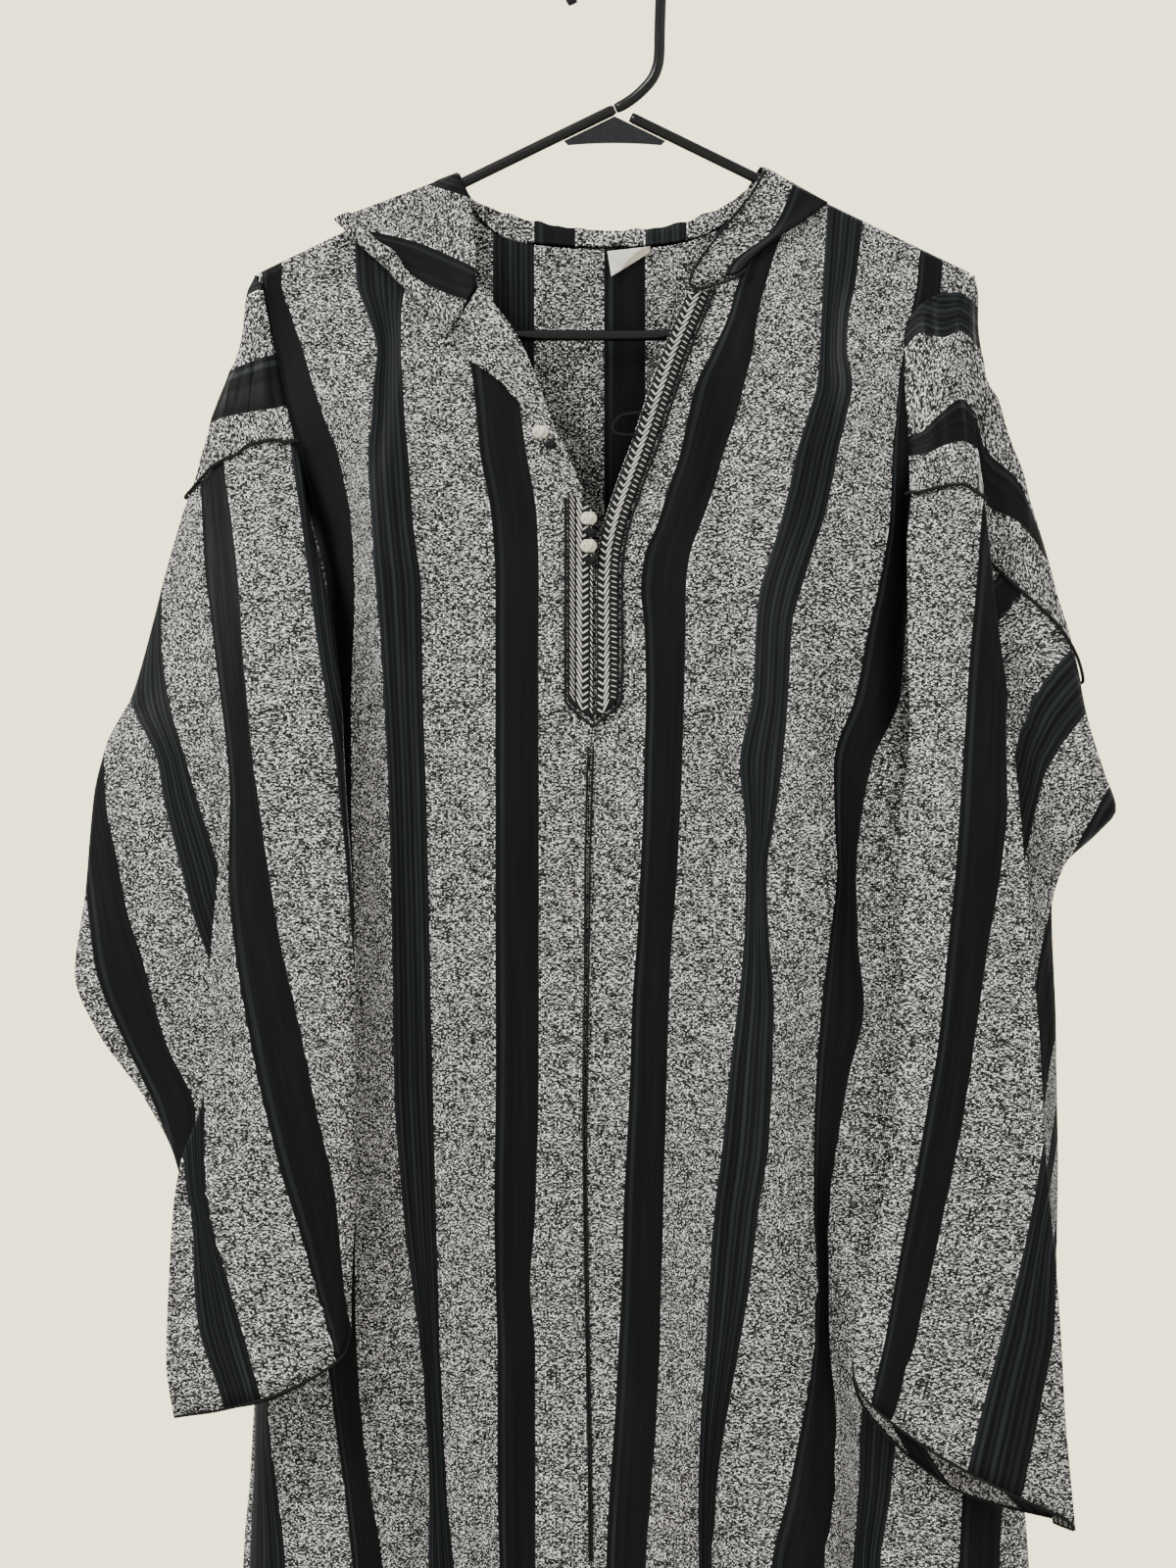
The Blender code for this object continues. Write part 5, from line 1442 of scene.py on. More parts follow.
@dataclass
class Arm:
    """A dropped shoulder, its sleeve and their cords on one side."""

    side: Side
    spans: tuple[int, ...] = (6, 6, 6, 6, 6, 5, 5, 6, 6, 7, 7, 9, 9, 6)
    sleeve_rows: tuple[float, ...] = (
        0.0, 0.04, 0.10, 0.17, 0.24, 0.30, 0.345, 0.385, 0.43,
        0.50, 0.57, 0.63, 0.69, 0.76, 0.87, 1.0,
    )
    drop_rows: tuple[float, ...] = (0.0, 0.04, 0.12, 0.25, 0.40, 0.60, 0.80, 1.0)
    cord_radius: float = 1.15

    @property
    def rings(self) -> list[Ring]:
        """This side's sections."""
        return RINGS_L if self.side is Side.LEFT else RINGS_R

    @property
    def seams(self) -> list[Seam]:
        """This side's seam heights."""
        return SEAMS_L if self.side is Side.LEFT else SEAMS_R

    def controls(self, z: float) -> list[tuple[float, float]]:
        """The fourteen control points of the section at height z."""
        heights = column(self.rings, "z")
        read = {name: float(lookup(heights, column(self.rings, name), z)) for name in Ring._fields[1:]}
        xi, xf, xt, xo = read["inner"], read["fold"], read["tuck"], read["outer"]
        yi, yf, yt, yo = read["inner_y"], read["fold_y"], read["tuck_y"], read["outer_y"]
        out = self.side.sign
        front = read["front_y"]
        back = read["back_y"]
        wide = abs(xf - xi)
        lip = min(6.0, 0.25 * wide)
        far = abs(xo - xt)
        edge = min(9.0, 0.3 * far + 0.8)
        back_wide = abs(xo - xi)
        rear = (xi + out * min(9.0, 0.2 * back_wide), back + (yi - back) * 0.42)
        open_back = float(smooth_step(z, -304.0, -272.0))
        if open_back > 0.0:
            rear = self.rear_edge(z, rear, open_back)
        return [
            (xi, yi),
            (xi + out * lip, yi + (front - yi) * 0.80),
            (xi + out * wide * 0.36, front),
            (xi + out * wide * 0.70, front * 0.72 + yf * 0.28),
            (xf - out * lip, yf * 0.80 + front * 0.20),
            (xf, yf),
            (xf + (xt - xf) * 0.5, yf + (yt - yf) * 0.62),
            (xt, yt),
            (xt + out * min(5.0, 0.2 * far), yt + (yo - yt) * 0.16),
            (xo - out * edge, yt + (yo - yt) * 0.55),
            (xo, yo),
            (xo - out * edge, yo + (back - yo) * 0.55),
            (xi + out * back_wide * 0.5, back),
            rear,
        ]

    def rear_edge(self, z: float, rear: tuple[float, float], share: float) -> tuple[float, float]:
        """Where the drop's back edge meets the body's, blended with the sleeve's own section."""
        heights = column(EDGES, "z")
        ends = [abs(getattr(row, self.side.name.lower())) for row in EDGES]
        reach = min(float(lookup(heights, ends, z)), HANGER_END - 0.2)
        out = self.side.sign
        edge_y = float(body_y(out * reach, z, False)) if z < -202 else 3.4
        lean = abs(float(lookup(heights, ends, z + 2.0)) - float(lookup(heights, ends, z - 2.0))) / 4.0
        edge_x = out * (reach + (WALL / 2 + GAP + 1.1) * math.hypot(1.0, 1.6 * lean))
        return rear[0] * (1 - share) + edge_x * share, rear[1] * (1 - share) + edge_y * share

    def grid(self, upper: str, lower: str, rows: np.ndarray, last: int, trim: tuple[float, float]) -> Grid:
        """Points of the tube between two seam lines.

        Args:
            upper: the seam line above.
            lower: the seam line below.
            rows: fractions from one to the other.
            last: the last span that is made, or all fourteen.
            trim: how much is cut off at each line.

        Returns:
            Rows and columns of points.
        """
        cache: dict[float, np.ndarray] = {}

        def section(z: float) -> np.ndarray:
            """The smooth section at a height, kept once made."""
            key = round(float(z), 1)
            if key not in cache:
                cache[key] = spline(self.controls(key), self.spans, closed=True)
            return cache[key]

        ends = []
        for name, cut, sign in ((upper, trim[0], -1.0), (lower, trim[1], 1.0)):
            line = spline([[value] for value in column(self.seams, name)], self.spans, closed=True)[:, 0]
            if cut:
                place = np.array([section(z)[c] for c, z in enumerate(line)])
                step = np.linalg.norm(np.roll(place, -1, axis=0) - np.roll(place, 1, axis=0), axis=1)
                rise = np.abs(np.roll(line, -1) - np.roll(line, 1))
                line = line + sign * cut * np.hypot(1.0, rise / np.maximum(step, 1.0))
            ends.append(line)
        total = sum(self.spans)
        stop = total if last >= len(self.spans) else sum(self.spans[:last]) + 1
        out = np.empty((len(rows), stop, 3))
        for r, t in enumerate(rows):
            heights = ends[0] * (1 - t) + ends[1] * t
            for c in range(stop):
                out[r, c, :2] = section(heights[c])[c]
                out[r, c, 2] = heights[c]
        return out

    def ruffle(self, grid: Grid, normals: np.ndarray, strength: float) -> Grid:
        """Add small slack waves that fade at the ends."""
        rows = grid.shape[0]
        fade = np.sin(np.linspace(0.0, math.pi, rows)) ** 0.5
        turn = np.linspace(0.0, 2 * math.pi, grid.shape[1], endpoint=False)
        x = 60.0 * np.cos(turn)[None, :] + 0 * grid[..., 2]
        y = 60.0 * np.sin(turn)[None, :] + 0 * grid[..., 2]
        out = np.empty(grid.shape[:2])
        for r in range(rows):
            for c in range(grid.shape[1]):
                spot = Vector((x[r, c] / 24.0, y[r, c] / 24.0, grid[r, c, 2] / 95.0))
                out[r, c] = noise.noise(spot) + 0.4 * noise.noise(spot * 2.3)
        return grid + normals * (strength * fade[:, None] * out)[..., None]

    def gather(self, grid: Grid, normals: np.ndarray) -> Grid:
        """Raise the small gathers that run down the dropped shoulder.

        Args:
            grid: the rows of points of the dropped shoulder's cloth.
            normals: the direction out of the cloth at each point.

        Returns:
            The same rows with the gathers raised, higher on the right arm.
        """
        height = 1.5 if self.side is Side.RIGHT else 0.6
        rows, cols = grid.shape[:2]
        down = np.sin(np.linspace(0.0, math.pi, rows))[:, None]
        across = np.sin(np.linspace(0.0, math.pi, cols))[None].clip(0.0) ** 0.5
        x = grid[..., 0] + 0.06 * grid[..., 2]
        waves = np.sin(x * 2 * math.pi / 10.5) + 0.5 * np.sin(x * 2 * math.pi / 6.3 + 1.0)
        lean = drift(x, grid[..., 2], 30.0, 26.0, 6.0)
        swell = height * down * across * waves * (0.7 + lean)
        return grid + normals * swell[..., None]

    def sleeve_weave(self, grid: Grid) -> Grid:
        """Where each point of the sleeve lies on the cloth."""
        rows, cols = grid.shape[:2]
        fold = sum(self.spans[:FOLD_SPAN])
        tuck = sum(self.spans[:TUCK_SPAN])
        outer = sum(self.spans[:OUTER_SPAN])
        x = grid[..., 0]
        z = grid[..., 2]
        left = self.side is Side.LEFT
        front = (SLEEVE_FRONT_L if left else SLEEVE_FRONT_R).across(x, z)
        side = (SLEEVE_OUTER_L if left else SLEEVE_OUTER_R).across(x, z)
        across = np.empty((rows, cols + 1))
        across[:, : fold + 1] = front[:, : fold + 1]
        across[:, tuck: outer + 1] = side[:, tuck: outer + 1]
        share = (np.arange(tuck - fold + 1) / (tuck - fold))[None]
        across[:, fold: tuck + 1] = front[:, fold: fold + 1] * (1 - share) + side[:, tuck: tuck + 1] * share
        loop = np.concatenate([grid, grid[:, :1]], axis=1)
        steps = np.linalg.norm(np.diff(loop[..., :2], axis=1), axis=2)
        run = np.cumsum(steps[:, outer:], axis=1)
        across[:, outer + 1:] = across[:, outer: outer + 1] + self.side.sign * run
        along_cloth = np.concatenate([z, z[:, :1]], axis=1)
        return np.stack([across, along_cloth], axis=-1)

    def drop_weave(self, grid: Grid) -> Grid:
        """Where each point of the dropped shoulder lies on the cloth."""
        bands = DROP_L if self.side is Side.LEFT else DROP_R
        return np.stack([bands.across(grid[..., 0], grid[..., 2]), grid[..., 0]], axis=-1)

    def build(self) -> None:
        """Make the two cloth pieces and the cords at armhole and cuff."""
        tag = self.side.value
        half_seam = GAP / 2 + 0.2
        drop = self.grid("top", "armhole", refine(self.drop_rows, 5), 13, (0.0, half_seam))
        sleeve = self.grid("armhole", "cuff", refine(self.sleeve_rows, 8), 14, (half_seam, 0.0))
        sleeve_normals = grid_normals(sleeve, True)
        drop_normals = grid_normals(drop, False)
        drop_normals[-1] = sleeve_normals[0][: drop.shape[1]]
        sleeve = self.ruffle(sleeve, sleeve_normals, 1.3)
        drop = self.gather(drop, drop_normals)
        piece = cloth_mesh("drop_" + tag + "_cloth", drop, self.drop_weave(drop), normals=drop_normals)
        WARDROBE.dress(settle(piece, "drop_" + tag), WARDROBE.cloth)
        weave = self.sleeve_weave(sleeve)
        outward = grid_normals(sleeve, True)
        piece = cloth_mesh("sleeve_" + tag + "_cloth", sleeve, weave, closed=True, normals=outward)
        WARDROBE.dress(settle(piece, "sleeve_" + tag), WARDROBE.cloth)
        self.build_cords(sleeve, sleeve_normals)

    def build_cords(self, sleeve: Grid, normals: np.ndarray) -> None:
        """Lay twisted cords along the armhole seam and the cuff's edge."""
        tag = self.side.value
        radius = self.cord_radius
        outward = -self.side.sign
        seam = sleeve[0] + outward * normals[0] * (WALL / 2 + GAP + radius + 0.2)
        rear = sum(self.spans[:13])
        if self.side is Side.LEFT:
            runs = {"armhole_cord_l": seam[:rear]}
        else:
            runs = {
                "armhole_cord_r": seam[: sum(self.spans[:5]) + 1],
                "armhole_cord_back_r": seam[sum(self.spans[:8]): rear],
            }
        for name, path in runs.items():
            piece = mesh_object(name + "_twist", *twisted(path, radius, 5.0, Ply.THREE))
            WARDROBE.dress(settle(piece, name), WARDROBE.black)
        down = sleeve[-1] - sleeve[-3]
        tangent = np.roll(sleeve[-1], -1, axis=0) - np.roll(sleeve[-1], 1, axis=0)
        tangent /= np.linalg.norm(tangent, axis=1, keepdims=True)
        down -= tangent * np.sum(down * tangent, axis=1, keepdims=True)
        down /= np.linalg.norm(down, axis=1, keepdims=True)
        cuff = sleeve[-1] + down * (0.6 * radius)
        cord = twisted(cuff, radius, 5.0, Ply.THREE, closed=True)
        piece = mesh_object("cuff_cord_" + tag + "_twist", *cord)
        WARDROBE.dress(settle(piece, "cuff_cord_" + tag), WARDROBE.black)


FLAP_L = [
    Collar("corner", (-81.0, -203.0), (-98.0, -232.0)),
    Collar("low", (-80.8, -192.0), (-108.0, -219.0)),
    Collar("middle", (-81.0, -178.0), (-121.0, -205.0)),
    Collar("high", (-82.4, -163.0), (-136.0, -190.0)),
    Collar("shoulder", (-85.4, -148.5), (-151.0, -176.0)),
    Collar("top", (-91.4, -135.4), (-163.5, -162.5)),
]
FLAP_R = [
    Collar("corner", (41.5, -203.5), (73.0, -194.0)),
    Collar("low", (45.5, -193.0), (79.0, -187.0)),
    Collar("middle", (54.0, -180.0), (88.0, -179.0)),
    Collar("high", (65.0, -166.5), (99.0, -171.0)),
    Collar("shoulder", (76.0, -152.0), (111.0, -163.5)),
    Collar("top", (87.5, -132.2), (124.0, -153.5)),
]
NECK_ROLL = [
    Roll("left shoulder", (-90.8, 3.7, -137.7), (-92.0, 3.2, -135.6), (-118.0, 12.0, -152.0)),
    Roll("left", (-82.0, 9.5, -156.0), (-84.0, 10.0, -150.0), (-104.0, 22.0, -170.0)),
    Roll("left back", (-64.0, 11.0, -172.0), (-64.0, 13.5, -159.5), (-78.0, 26.9, -184.0)),
    Roll("left middle", (-38.0, 11.5, -176.0), (-38.0, 14.5, -166.0), (-44.0, 30.1, -189.0)),
    Roll("middle", (-5.0, 11.5, -177.0), (-5.0, 15.0, -169.5), (-6.0, 30.0, -191.0)),
    Roll("right middle", (30.0, 11.5, -175.5), (30.0, 14.5, -167.0), (34.0, 29.0, -189.0)),
    Roll("right back", (56.0, 11.0, -168.5), (57.0, 13.5, -158.5), (66.0, 26.0, -183.0)),
    Roll("right", (74.0, 9.5, -154.5), (76.0, 10.0, -147.5), (90.0, 21.0, -167.0)),
    Roll("right shoulder", (83.0, 3.7, -134.4), (86.6, 3.2, -131.6), (106.0, 12.0, -146.0)),
]
HOOD = [
    HoodRing(-188, -120, 110, 4.5, 24.0),
    HoodRing(-225, -134, 126, 4.5, 30.0),
    HoodRing(-260, -132, 125, 4.5, 32.0),
    HoodRing(-300, -116, 110, 4.5, 31.0),
    HoodRing(-345, -88, 84, 4.5, 28.0),
    HoodRing(-390, -58, 54, 5.0, 24.0),
    HoodRing(-425, -36, 31, 5.5, 19.0),
    HoodRing(-448, -20, 15, 6.5, 14.0),
]
FLAP_BANDS_L = StripeField(
    level=True, cuts=(0.0, 24.0),
    rows=((-175, -164, -178), (-155, -169, -183), (-120, -180, -196), (-83, -192, -211)),
)
FLAP_BANDS_R = StripeField(
    cuts=(-41.0, 0.0, 24.0),
    rows=(
        (-210, 20, 60, 84), (-190, 26, 67, 91), (-170, 50, 91, 115), (-150, 60, 101, 125),
        (-130, 66, 107, 129),
    ),
)
LAPEL_EDGE = [
    (-97.0, -233.5), (-85.0, -245.0), (-66.0, -259.0), (-48.0, -281.0), (-38.0, -300.0), (-29.0, -316.0),
]


@dataclass
class Hood:
    """The hood's flaps, the roll behind the neck, the hanging pocket and the turned-out corner."""

    body: Body
    curl_radius: float = 5.2
    curl_turn: float = 4.4

    def build_flap(self, side: Side) -> bpy.types.Object:
        """Make the hood's edge that is folded out over one shoulder."""
        stations = FLAP_L if side is Side.LEFT else FLAP_R
        spans = [6, 6, 6, 9, 14]
        crest = spline([st.crest for st in stations], spans)
        edge = spline([st.edge for st in stations], spans)
        fractions = np.concatenate([[0.0, 0.02, 0.05, 0.1], np.linspace(0.15, 1.0, 20)])
        x = crest[:, None, 0] * (1 - fractions) + edge[:, None, 0] * fractions
        z = crest[:, None, 1] * (1 - fractions) + edge[:, None, 1] * fractions
        lift = FLAP_LIFT + 1.4 * smooth_step(fractions, 0.72, 1.0)[None] + 0 * x
        y = np.array([[float(body_y(a, b, True, c)) for a, b, c in zip(*row)] for row in zip(x, z, lift)])
        y = y + 0.7 * drift(x, z, 17.0, 13.0, 5.0) * smooth_step(fractions, 0.1, 0.4)[None]
        y = np.minimum(y + 0.6 * (1.0 - smooth_step(fractions, 0.0, 0.06))[None], -GAP)
        grid = np.stack([x, y, z], axis=-1)
        bands = FLAP_BANDS_L if side is Side.LEFT else FLAP_BANDS_R
        across = bands.across(x, z)
        if side is Side.LEFT:
            grid, across = self.curl(grid, across)
        weave = np.stack([across, grid[..., 0] if side is Side.LEFT else grid[..., 2]], axis=-1)
        if side is Side.LEFT:
            grid = grid[:, ::-1]
            weave = weave[:, ::-1]
        name = "hood_flap_" + side.value
        piece = cloth_mesh(name + "_cloth", grid, weave, normals=seam_normals(grid))
        WARDROBE.dress(settle(piece, name), WARDROBE.cloth)
        return piece

    def curl(self, grid: Grid, across: np.ndarray) -> tuple[Grid, np.ndarray]:
        """Roll the flap's free edge over itself, as the left one is."""
        rows = grid.shape[0]
        uneven = 1.0 + 0.10 * np.sin(np.linspace(0.0, 15.0, rows))
        uneven = uneven + 0.08 * np.sin(np.linspace(1.0, 29.0, rows))
        radius = self.curl_radius * uneven[:, None]
        trimmed = np.empty_like(grid)
        kept = np.empty_like(across)
        for r in range(rows):
            length = float(np.linalg.norm(grid[r, -1] - grid[r, 0]))
            share = np.linspace(0.0, 1.0, grid.shape[1]) * (1.0 - radius[r, 0] / length)
            trimmed[r] = along(grid[r], share)
            kept[r] = along(across[r][:, None], share)[:, 0]
        outward = trimmed[:, -1] - trimmed[:, -4]
        outward /= np.linalg.norm(outward, axis=1, keepdims=True)
        toward = np.array([0.0, -1.0, 0.0]) - outward * (outward @ np.array([0.0, -1.0, 0.0]))[:, None]
        toward /= np.linalg.norm(toward, axis=1, keepdims=True)
        strips = []
        places = []
        for angle in np.linspace(0.0, self.curl_turn, 17)[1:]:
            shrink = radius * (1.0 - 0.06 * angle)
            rise = toward * (radius - shrink * math.cos(angle))
            strips.append(trimmed[:, -1] + outward * shrink * math.sin(angle) + rise)
            places.append(30.0 + radius[:, 0] * angle)
        curled = np.concatenate([trimmed, np.stack(strips, axis=1)], axis=1)
        return curled, np.concatenate([kept, np.stack(places, axis=1)], axis=1)

    def build_lapel(self) -> bpy.types.Object:
        """Make the left front's upper corner, turned out so that its wrong side shows."""
        cloth = Surface(self.body.fronts)
        inner = self.body.inner_curve(Side.LEFT)
        edge = spline(LAPEL_EDGE, 9)
        fractions = np.concatenate([[0.0, 0.04, 0.09], np.linspace(0.16, 1.0, 12)])
        count = len(edge)
        grid = np.empty((count, len(fractions), 3))
        for k, end in enumerate(edge):
            z = -202.0 - (322.0 - 202.0) * k / (count - 1)
            start = np.array([np.interp(-z, -inner[:, 1], inner[:, 0]) + 1.4, z])
            for c, f in enumerate(fractions):
                x, z_here = start * (1 - f) + end * f
                y = cloth.nearest(x, z_here, -20.0) - (WALL / 2 + GAP + 0.35)
                grid[k, c] = (x, y, z_here)
        ripple = 1.1 * drift(grid[..., 0], grid[..., 2], 14.0, 12.0, 8.0)
        grid[..., 1] -= np.maximum(ripple, -0.2) * smooth_step(fractions, 0.1, 0.7)[None]
        ragged = 0.9 * drift(grid[:, -1, 0], grid[:, -1, 2], 3.0, 3.0, 2.0)
        grid[:, -1, 0] += ragged
        grid = grid[:, ::-1]
        slant = grid[..., 0] * 0.86 - grid[..., 2] * 0.5
        weave = np.stack([slant, grid[..., 2] * 0.86 + grid[..., 0] * 0.5], axis=-1)
        piece = cloth_mesh("lapel_l_cloth", grid, weave)
        WARDROBE.dress(settle(piece, "lapel_l"), WARDROBE.wrong_side)
        return piece

    def build_neck_roll(self) -> bpy.types.Object:
        """Make the roll at the back of the neck."""
        seam = spline([st.seam for st in NECK_ROLL], 12)
        crest = spline([st.crest for st in NECK_ROLL], 12)
        edge = spline([st.edge for st in NECK_ROLL], 12)
        rows = []
        for a, b, c in zip(seam, crest, edge):
            rows.append(spline([a, b, b * 0.45 + c * 0.55 + np.array([0.0, 1.5, 2.5]), c], 7))
        grid = np.array(rows)
        wave = 1.6 + 1.5 * drift(grid[..., 0], 0.0 * grid[..., 2], 8.0, 16.0, 4.0)
        step = np.arange(grid.shape[1])
        rise = smooth_step(step, 1, 6) * (1.0 - smooth_step(step, 9, 16))
        middle = smooth_step(85.0 - np.abs(grid[..., 0]), 0.0, 14.0)
        grid[..., 2] += wave * rise[None] * middle
        weave = np.stack([grid[..., 0] + 47.0, grid[..., 2] - grid[..., 1]], axis=-1)
        piece = cloth_mesh("hood_neck_cloth", grid, weave)
        WARDROBE.dress(settle(piece, "hood_neck"), WARDROBE.cloth)
        return piece

    def build_pocket(self) -> bpy.types.Object:
        """Make the part of the hood that hangs behind."""
        cloth = Surface([self.body.back], from_front=False)
        heights = column(HOOD, "z")
        stations = refine((-187, -205, -228, -255, -285, -315, -345, -375, -402, -425, -440, -448), 4)
        steps = 72
        grid = np.empty((len(stations), steps, 3))
        for r, z in enumerate(stations):
            left, right, near, far = (
                float(lookup(heights, column(HOOD, name), z)) for name in ("left", "right", "near", "far")
            )
            half = (right - left) / 2
            middle = (right + left) / 2
            for c in range(steps):
                a = 2 * math.pi * c / steps
                x = middle + half * math.copysign(abs(math.cos(a)) ** 0.8, math.cos(a))
                raised = 26.0 * (x / 120.0) ** 2 * max(0.0, 1.0 - (-188.0 - z) / 110.0)
                base = cloth.nearest(x, z + raised, 20.0)
                wave = 2.5 * math.cos(x * 0.055) * min(1.0, half / 90.0)
                share = 0.5 + 0.5 * math.copysign(abs(math.sin(a)) ** 0.6, math.sin(a))
                grid[r, c] = (x, base + near + (far - near + wave) * share, z + raised)
        grid = grid[:, ::-1]
        loop = np.concatenate([grid, grid[:, :1]], axis=1)
        weave = np.stack([loop[..., 0] + 6.0, loop[..., 2]], axis=-1)
        piece = cloth_mesh("hood_pocket_cloth", grid, weave, closed=True)
        WARDROBE.dress(settle(piece, "hood"), WARDROBE.cloth)
        return piece

    def build(self) -> None:
        """Make every part of the hood."""
        self.build_flap(Side.LEFT)
        self.build_flap(Side.RIGHT)
        self.build_lapel()
        self.build_neck_roll()
        self.build_pocket()


class Strand(NamedTuple):
    """One column of stitches in a braid."""

    name: str
    start: float
    end: float
    chevron: bool
    pitch: float
    slant: float


@dataclass
class SlitTrims:
    """The braids, cords, knots and loops of the neck and slit."""

    body: Body
    braid_wall: float = 1.1
    braid_lift: float = 0.25
    braid_rows: int = 60
    braid_columns: int = 7
    twill_fullness: float = 0.12
    chevron_fullness: float = 0.16
    strands_left: tuple[Strand, ...] = (
        Strand("outer twill", 0.07, 0.27, False, 3.2, 0.85),
        Strand("chevron", 0.34, 0.80, True, 4.0, 1.15),
        Strand("inner twill", 0.88, 0.97, False, 3.2, 1.2),
    )
    strands_right: tuple[Strand, ...] = (
        Strand("chevron", 0.08, 0.56, True, 4.0, 1.15),
        Strand("outer twill", 0.66, 0.90, False, 3.2, 0.85),
    )

    def strip_grid(self, left: Sequence, right: Sequence, cloth: Surface) -> Grid:
        """Points of a braid between two edge lines, lying on the cloth.

        Args:
            left: the edge on the viewer's left.
            right: the other edge.
            cloth: what the braid lies on.

        Returns:
            Rows and columns of points.
        """
        count = self.braid_rows
        across = self.braid_columns
        away = self.braid_wall / 2 + GAP + self.braid_lift
        a = along(np.asarray(left, float), np.linspace(0.0, 1.0, count))
        b = along(np.asarray(right, float), np.linspace(0.0, 1.0, count))
        grid = np.empty((count, across, 3))
        for r in range(count):
            for c, f in enumerate(np.linspace(0.0, 1.0, across)):
                x, z = a[r] * (1 - f) + b[r] * f
                grid[r, c] = (x, cloth.nearest(x, z, NO_CLOTH_Y) - away, z)
        return grid

    def stitches(self, grid: Grid, strands: Sequence[Strand], wall: float) -> tuple:
        """Raised cream stitches on a braid.

        Args:
            grid: the braid's points.
            strands: its columns of stitches.
            wall: its thickness.

        Returns:
            The points, and the faces that name them.
        """
        rows, cols = grid.shape[:2]
        middle = grid.mean(axis=1)
        run = np.concatenate([[0.0], np.cumsum(np.linalg.norm(np.diff(middle, axis=0), axis=1))])
        wide = np.linalg.norm(grid[:, -1] - grid[:, 0], axis=1)

        def spot(distance: float, share: float) -> np.ndarray:
            """The point at a distance down and a share across the braid."""
            r = float(np.interp(distance, run, np.arange(rows)))
            low = min(int(r), rows - 2)
            line = grid[low] * (1 - (r - low)) + grid[low + 1] * (r - low)
            c = share * (cols - 1)
            left = min(int(c), cols - 2)
            return line[left] * (1 - (c - left)) + line[left + 1] * (c - left)

        parts = []
        lift = np.array([0.0, -(wall / 2 + 0.25), 0.0])
        for strand in strands:
            distance = 2.0
            while distance < run[-1] - 2.5:
                width = float(np.interp(distance, run, wide)) * (strand.end - strand.start)
                halves = ((0.0, 0.5), (1.0, 0.5)) if strand.chevron else ((0.0, 1.0),)
                for outer, inner in halves:
                    rise = strand.slant * width * abs(inner - outer)
                    first = spot(distance - rise * 0.5, strand.start + (strand.end - strand.start) * outer)
                    second = spot(distance + rise * 0.5, strand.start + (strand.end - strand.start) * inner)
                    axis = (second - first) * 0.57
                    forward = np.array([0.0, -0.55, 0.0])
                    side = np.cross(axis, forward)
                    fullness = self.chevron_fullness if strand.chevron else self.twill_fullness
                    side *= fullness * strand.pitch / max(np.linalg.norm(side), 1e-6)
                    centre = (first + second) / 2 + lift
                    parts.append(ellipsoid(centre, np.array([axis, side, forward]), 6, 6))
                distance += strand.pitch
        return joined(parts)

    def build_braid(self, name: str, grid: Grid, strands: Sequence[Strand]) -> bpy.types.Object:
        """Make one braid: a black ground with raised cream stitches."""
        weave = np.stack([grid[..., 0], grid[..., 2]], axis=-1)
        ground = cloth_mesh(name + "_ground", grid, weave, wall=self.braid_wall)
        WARDROBE.dress(settle(ground, name), WARDROBE.ground)
        stitches = mesh_object(name + "_stitches", *self.stitches(grid, strands, self.braid_wall))
        WARDROBE.dress(settle(stitches), WARDROBE.white)
        return ground

    def build_cord(self, node: str, path: np.ndarray, radius: float, ply: Ply = Ply.TWO) -> bpy.types.Object:
        """Make a twisted black cord along a path."""
        piece = mesh_object(node + "_twist", *twisted(np.asarray(path, float), radius, radius * 4.2, ply))
        return WARDROBE.dress(settle(piece, node), WARDROBE.black)

    def knot(self, node: str, centre: np.ndarray, radii: tuple[float, float, float], finish: CordYarn,
             strand: float) -> bpy.types.Object:
        """Make a knotted ball: cord woven around a core.

        Args:
            node: the solid it stands for.
            centre: its middle.
            radii: its half sizes.
            finish: its yarn.
            strand: the cord's radius.

        Returns:
            The new piece.
        """
        leads = 3
        bights = 5
        turns = np.linspace(0.0, 2 * math.pi * leads, 200, endpoint=False)
        rise = 1.05 * np.sin(bights * turns / leads)
        weaving = 1.0 + 0.07 * np.cos(2 * bights * turns / leads)
        scale = (np.array(radii) - strand)[None]
        path = np.stack([
            np.cos(rise) * np.cos(turns), np.cos(rise) * np.sin(turns), np.sin(rise)
        ], axis=1) * scale * weaving[:, None]
        core = ellipsoid(centre, np.diag(np.array(radii) * 0.80), 10, 14)
        piece = mesh_object(node + "_knot", *joined([core, tube_points(path + centre, strand, 7, True)]))
        return WARDROBE.dress(settle(piece, node), finish)

    def build(self) -> None:
        """Lay every trim on the fronts."""
        cloth = Surface(self.body.fronts)
        heights = [-334, -345, -360, -380, -400, -420, -436]
        left_out = [(-27.0, z) for z in [-322] + heights] + [(-27.0, -444.0)]
        left_in = [(-12.4, z) for z in [-333, -340] + heights[1:]] + [(-12.6, -455.0)]
        slit = [p for p in self.body.inner_curve(Side.RIGHT) if -436.0 < p[1] < -205.0]
        right_in = [(x + 0.6, z) for x, z in slit] + [(-10.8, -438.0), (-11.2, -455.0)]
        right_out = []
        for x, z in right_in[:-1]:
            lean = float(smooth_step(z, -350.0, -300.0))
            right_out.append((x + 13.0 + 2.0 * lean, z + 4.0 * lean))
        right_out.append((1.6, -444.0))
        grid_l = self.strip_grid(left_out, left_in, cloth)
        grid_r = self.strip_grid(right_in, right_out, cloth)
        braid_l = self.build_braid("braid_l", grid_l, self.strands_left)
        braid_r = self.build_braid("braid_r", grid_r, self.strands_right)

